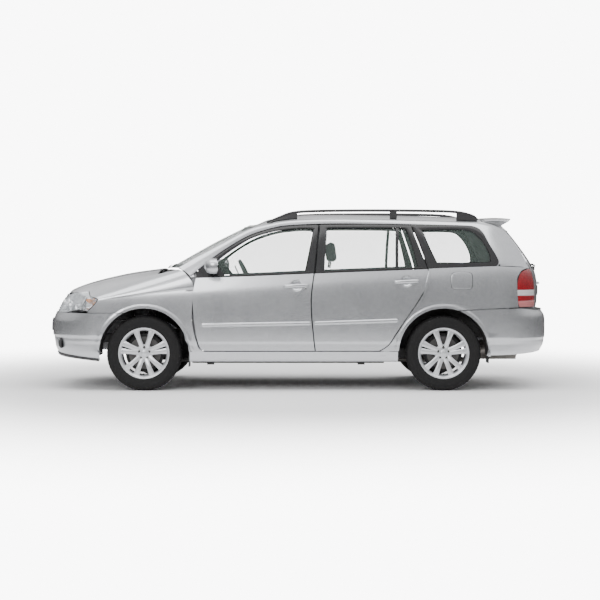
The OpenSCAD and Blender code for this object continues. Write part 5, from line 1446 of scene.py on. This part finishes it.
def cushion(centre, half, thick, ribs=3, look=0, n=44, across=True):
    # crowned pad: thickness falls off as (1 - u^6)(1 - v^6) to the seam, with sewn channels across it
    u = np.linspace(-1, 1, n + 1)[:, None]
    v = np.linspace(-1, 1, n + 1)[None]
    swell = ((1 - u ** 6) * (1 - v ** 6)) ** 0.5
    run = (u if across else v) + 0 * u * v
    channel = sum(np.exp(-((run - c) / 0.03) ** 2)
                  for c in np.linspace(-0.55, 0.55, ribs)) if ribs else 0 * run
    wide = np.abs(v if across else u)
    side = np.exp(-(((wide - 0.66) + 0 * u * v) / 0.03) ** 2)
    pull = 1 - 0.05 * (1 - np.abs(u)) * (np.abs(v) > 0.98)
    x, y = half[0] * u * pull + 0 * v, half[1] * v + 0 * u
    bolster = 0.35 * thick * smooth((wide - 0.66) / 0.2) * (1 - (v if across else u) ** 8)
    top = thick * swell + bolster - seats["channel"] * (channel * (wide < 0.62) + side) * swell
    low = -0.8 * thick * swell
    g1 = np.stack([x, y, top], -1) + np.asarray(centre, float)
    g2 = np.stack([x, y, low], -1) + np.asarray(centre, float)
    seam = np.concatenate([g1[:, 0], g1[-1, 1:], g1[::-1, -1][1:], g1[0, ::-1][1:]])
    return [shell(g1, g2, look), tube(seam, seats["pipe"], 6, 1)]


def seat(y0, wide):
    base = cushion([-70, y0, 410], [252, wide], 58)
    back = turned(cushion([0, 0, 0], [340, wide - 6], 52), "Y", -103, [0, 0, 0])
    back = moved(back, [250, y0, 766])
    head = turned(cushion([0, 0, 0], [84, 122], 42, 0), "Y", -98, [0, 0, 0])
    head = moved(head, [342, y0, 1206])
    posts = [tube([[322, y0 + s, 1065], [334, y0 + s, 1150]], 6, 10, 2) for s in (-55, 55)]
    shellBack = block([250, y0 - wide + 18, 480], [302, y0 + wide - 18, 1050], 22, 1)
    plinth = block([-240, y0 - 170, 262], [150, y0 + 170, 352], 16, 1)
    return base + back + head + posts + [plinth] + turned([shellBack], "Y", 10, [270, y0, 480])


seatLooks = "cloth cabin chrome"
for side, y0 in (("left", -370), ("right", 370)):
    makePiece(f"frontSeat_{side}", seat(y0, 222), "body", seatLooks, ["front_seats"],
              crease=60)
bench = cushion([905, 0, 520], [205, 536], 52, 3)
benchBack = moved(turned(cushion([0, 0, 0], [232, 534], 44, 3), "Y", -103, [0, 0, 0]), [1150, 0, 770])
rests = []
for y0 in (-380, 380):
    rests += moved(turned(cushion([0, 0, 0], [66, 108], 30, 0), "Y", -95, [0, 0, 0]), [1228, y0, 1078])
    rests += [tube([[1205, y0 + s, 980], [1222, y0 + s, 1050]], 6, 10, 2) for s in (-50, 50)]
makePiece("rearSeat", bench + benchBack + rests + [block([720, -520, 474], [1100, 520, 505], 10, 1)], "body",
          seatLooks,
          ["rear_seat"], crease=60)

section = steps([[-950, 1008], [-820, 1012], [-705, 998], [-652, 955], [-640, 915], [-656, 830], [-700, 720],
                 [-762, 625],
                 [-880, 622], [-955, 640], [-958, 900], [-950, 1008]], 90)[:-1]
dashHalf = 699
yy = np.linspace(-dashHalf, dashHalf, 61)
k = 1 - 0.06 * np.abs(yy / dashHalf) ** 6
middle = section.mean(0)
g = np.stack([middle[0] + (section[None, :, 0] - middle[0]) * k[:, None],
              yy[:, None] + 0 * section[None, :, 0],
              middle[1] + (section[None, :, 1] - middle[1]) * k[:, None]], -1)
ends = [np.broadcast_to(np.array([middle[0], y0, middle[1]]), (1, len(section), 3))
        for y0 in (-dashHalf, dashHalf)]
g = np.concatenate([ends[0], g, ends[1]])
dash = [closed(g, gridFaces(len(g), len(section), False, True), 0),
        block([-815, -520, 990], [-655, -225, 1052], 26, 0),
        block([-712, -118, 560], [-628, 118, 962], 20, 1),
        block([-640, -72, 262], [150, 72, 400], 24, 1),
        tube([[-420, -5, 395], [-400, -5, 470], [-392, -5, 500]], [9, 8, 22], 20, 0)]
for y0 in (-620, -75, 75, 620):
    for level in (925, 938, 951):
        dash.append(block([-668, y0 - 48, level], [-630, y0 + 48, level + 4], 1.8, 2))
dial = [(0.1, 0), (46, 0), (50, 3), (50, -4), (0.1, -4)]
for y0 in (-430, -310):
    centre = [-668, y0, 1005]
    dash += turned([lathe(dial, centre, 48, 2, "x")], "Y", -14, centre)
makePiece("dashboard", dash, "body", "cabin black gloss", ["dashboard"], crease=45)

wheelRing = {"centre": (-410, -370, 973), "radius": 170.0, "thick": 15.0, "tilt": 63}
a = np.linspace(0, 2 * math.pi, 97)[:-1]
b = np.linspace(0, 2 * math.pi, 20, endpoint=False)
r = wheelRing["radius"] + wheelRing["thick"] * np.cos(b)[None]
grip = wheelRing["thick"] * (1 + 0.08 * np.exp(-((np.sin(a) - 0.75) / 0.25) ** 2))[:, None]
g = np.stack([r * np.cos(a)[:, None], r * np.sin(a)[:, None], grip * np.sin(b)[None]], -1)
steer = [closed(g, gridFaces(96, 20, True, True), 0)]
for angle in (0, 180, 250, 290):
    c, s2 = math.cos(math.radians(angle)), math.sin(math.radians(angle))
    steer.append(tube([[50 * c, 50 * s2, -14], [110 * c, 110 * s2, -10], [168 * c, 168 * s2, 0]],
                      [22, 14, 11], 16, 1, 0.55))
steer.append(lathe(steps([(0.1, 16), (40, 14), (62, 6), (66, -10), (58, -26), (0.1, -28)], 30), [0, 0, 0], 64,
                   1, "z"))
steer.append(lathe([(0.1, -24), (24, -24), (24, -318), (0.1, -318)], [0, 0, 0], 32, 1, "z"))
for s2 in (-1, 1):
    steer.append(tube([[20 * s2, 10, -60], [70 * s2, 20, -64], [150 * s2, 30, -60]], [9, 7, 9], 12, 1, 0.6))
steer = moved(turned(steer, "Y", wheelRing["tilt"], [0, 0, 0]), wheelRing["centre"])
makePiece("steeringWheel", steer, "body", "cabin black", ["steering_wheel"], crease=45)

fittings = [block([-478, -112, 1352], [-456, 112, 1408], 10, 0),
            tube([[-466, 0, 1405], [-452, 0, 1436]], 8, 12, 0)]
for y0 in (-360, 360):
    visor = block([-400, y0 - 190, 1418], [-270, y0 + 190, 1432], 6, 1)
    fittings += turned([visor], "Y", -8, [-400, y0, 1425])
makePiece("cabinFittings", fittings, "body", "black lining", crease=45)
mats = [block([-880, -684, 252.5], [760, 684, 262], 4, 0), block([792, -538, 470.5], [2100, 538, 480], 4, 0)]
for y0 in (-370, 370):
    mats.append(block([-860, y0 - 210, 262], [-420, y0 + 210, 270], 3, 1))
makePiece("carpets", mats, "body", "carpet cabin")

# under the bonnet: covers and caps on the engine block
engine = [block([-1740, -190, 788], [-1390, 190, 822], 14, 0)]
for k2 in range(6):
    engine.append(block([-1716, -150 + 54 * k2, 820], [-1420, -126 + 54 * k2, 830], 4, 0))
engine += [lathe([(0.1, 0), (26, 0), (28, 14), (22, 18), (0.1, 18)], [-1450, 222, 788], 32, 1, "z"),
           block([-1660, 318, 560], [-1420, 500, 760], 10, 1),
           block([-1660, -505, 600], [-1440, -330, 742], 24, 1),
           tube(steps([[-1760, -240, 640], [-1860, -260, 650], [-1930, -200, 640], [-1960, -120, 600]], 30),
                22, 16, 1)]
for y0 in (355, 462):
    engine.append(lathe([(0.1, 0), (9, 0), (9, 16), (0.1, 16)], [-1640, y0, 760], 20, 2, "z"))
engine.append(block([-2050, -360, 420], [-2020, 360, 640], 8, 1))
makePiece("engineCovers", engine, "body", "black black disc", crease=45)
print("cabin made")

# floor, light and camera

stage = {"floor": 44.0, "solid": 2.4, "faded": 6.8}
bpy.ops.mesh.primitive_plane_add(size=stage["floor"], location=(0, 0, 0))
floor = bpy.context.object
floor.name = "floor"
paper = Finish("floorPaper", Roughness=0.85)
speckle = paper.noise(3.0, 4.0)
# the floor thins out with distance, so that no horizon shows
across, along = paper.axis("X"), paper.axis("Y")
far = (across * across + along * along).power(0.5)
paper.set(Base_Color=paper.blend(speckle, (0.93, 0.93, 0.93), (0.96, 0.96, 0.96)),
          Alpha=1.0 - paper.step(far, stage["solid"], stage["faded"]))
floor.data.materials.append(paper.material)

sky = bpy.data.worlds.new("studio")
bpy.context.scene.world = sky
sky.use_nodes = True
tree = sky.node_tree
tree.nodes.clear()
out = tree.nodes.new("ShaderNodeOutputWorld")
room, plain = tree.nodes.new("ShaderNodeBackground"), tree.nodes.new("ShaderNodeBackground")
where, split = tree.nodes.new("ShaderNodeTexCoord"), tree.nodes.new("ShaderNodeSeparateXYZ")
ramp, rays, choose = (tree.nodes.new("ShaderNode" + kind) for kind in ("ValToRGB", "LightPath", "MixShader"))
# what the paint mirrors: a dark line at the horizon, a bright ceiling
stops = [(0.0, 0.3), (0.40, 0.24), (0.49, 0.14), (0.53, 0.18), (0.60, 0.62), (0.72, 1.3), (1.0, 1.15)]
while len(ramp.color_ramp.elements) < len(stops):
    ramp.color_ramp.elements.new(0.5)
for element, (at, level) in zip(ramp.color_ramp.elements, stops):
    element.position, element.color = at, (level, level, level * 1.01, 1)
scale = tree.nodes.new("ShaderNodeMath")
scale.operation = "MULTIPLY_ADD"
scale.inputs[1].default_value, scale.inputs[2].default_value = 0.5, 0.5
for first, second in ((where.outputs["Generated"], split.inputs[0]), (split.outputs[2], scale.inputs[0]),
                      (scale.outputs[0], ramp.inputs[0]), (ramp.outputs[0], room.inputs[0]),
                      (rays.outputs["Is Camera Ray"], choose.inputs[0]), (room.outputs[0], choose.inputs[1]),
                      (plain.outputs[0], choose.inputs[2]), (choose.outputs[0], out.inputs[0])):
    tree.links.new(first, second)
room.inputs[1].default_value = 0.9
plain.inputs[0].default_value, plain.inputs[1].default_value = (1.0, 1.0, 1.0, 1), 9.0

lamps = {
    "over": {"at": (0, -1.5, 6.5), "size": (9, 5), "power": 420, "aim": (0, 0, 0)},
    "front": {"at": (-3.5, -8.5, 4.2), "size": (5, 3), "power": 260, "aim": (0, 0, 0.6)},
    "back": {"at": (5.5, 6.5, 4.5), "size": (5, 3), "power": 220, "aim": (0, 0, 0.6)},
}
for name, lamp in lamps.items():
    data = bpy.data.lights.new(name, "AREA")
    data.shape, data.size, data.size_y, data.energy = "RECTANGLE", *lamp["size"], lamp["power"]
    light = bpy.data.objects.new(name, data)
    bpy.context.scene.collection.objects.link(light)
    light.location = lamp["at"]
    light.rotation_euler = (Vector(lamp["aim"]) - Vector(lamp["at"])).to_track_quat("-Z", "Y").to_euler()

view = {"at": (0.0115, -13.355, 1.134), "sensor": 36.0, "lens": 86.652, "shiftY": -1 / 15}
camera = bpy.data.cameras.new("camera")
camera.sensor_width, camera.lens, camera.shift_y = view["sensor"], view["lens"], view["shiftY"]
camera.clip_end = 400
eye = bpy.data.objects.new("camera", camera)
bpy.context.scene.collection.objects.link(eye)
eye.location = view["at"]
eye.rotation_euler = (math.pi / 2, 0, 0)
bpy.context.scene.camera = eye
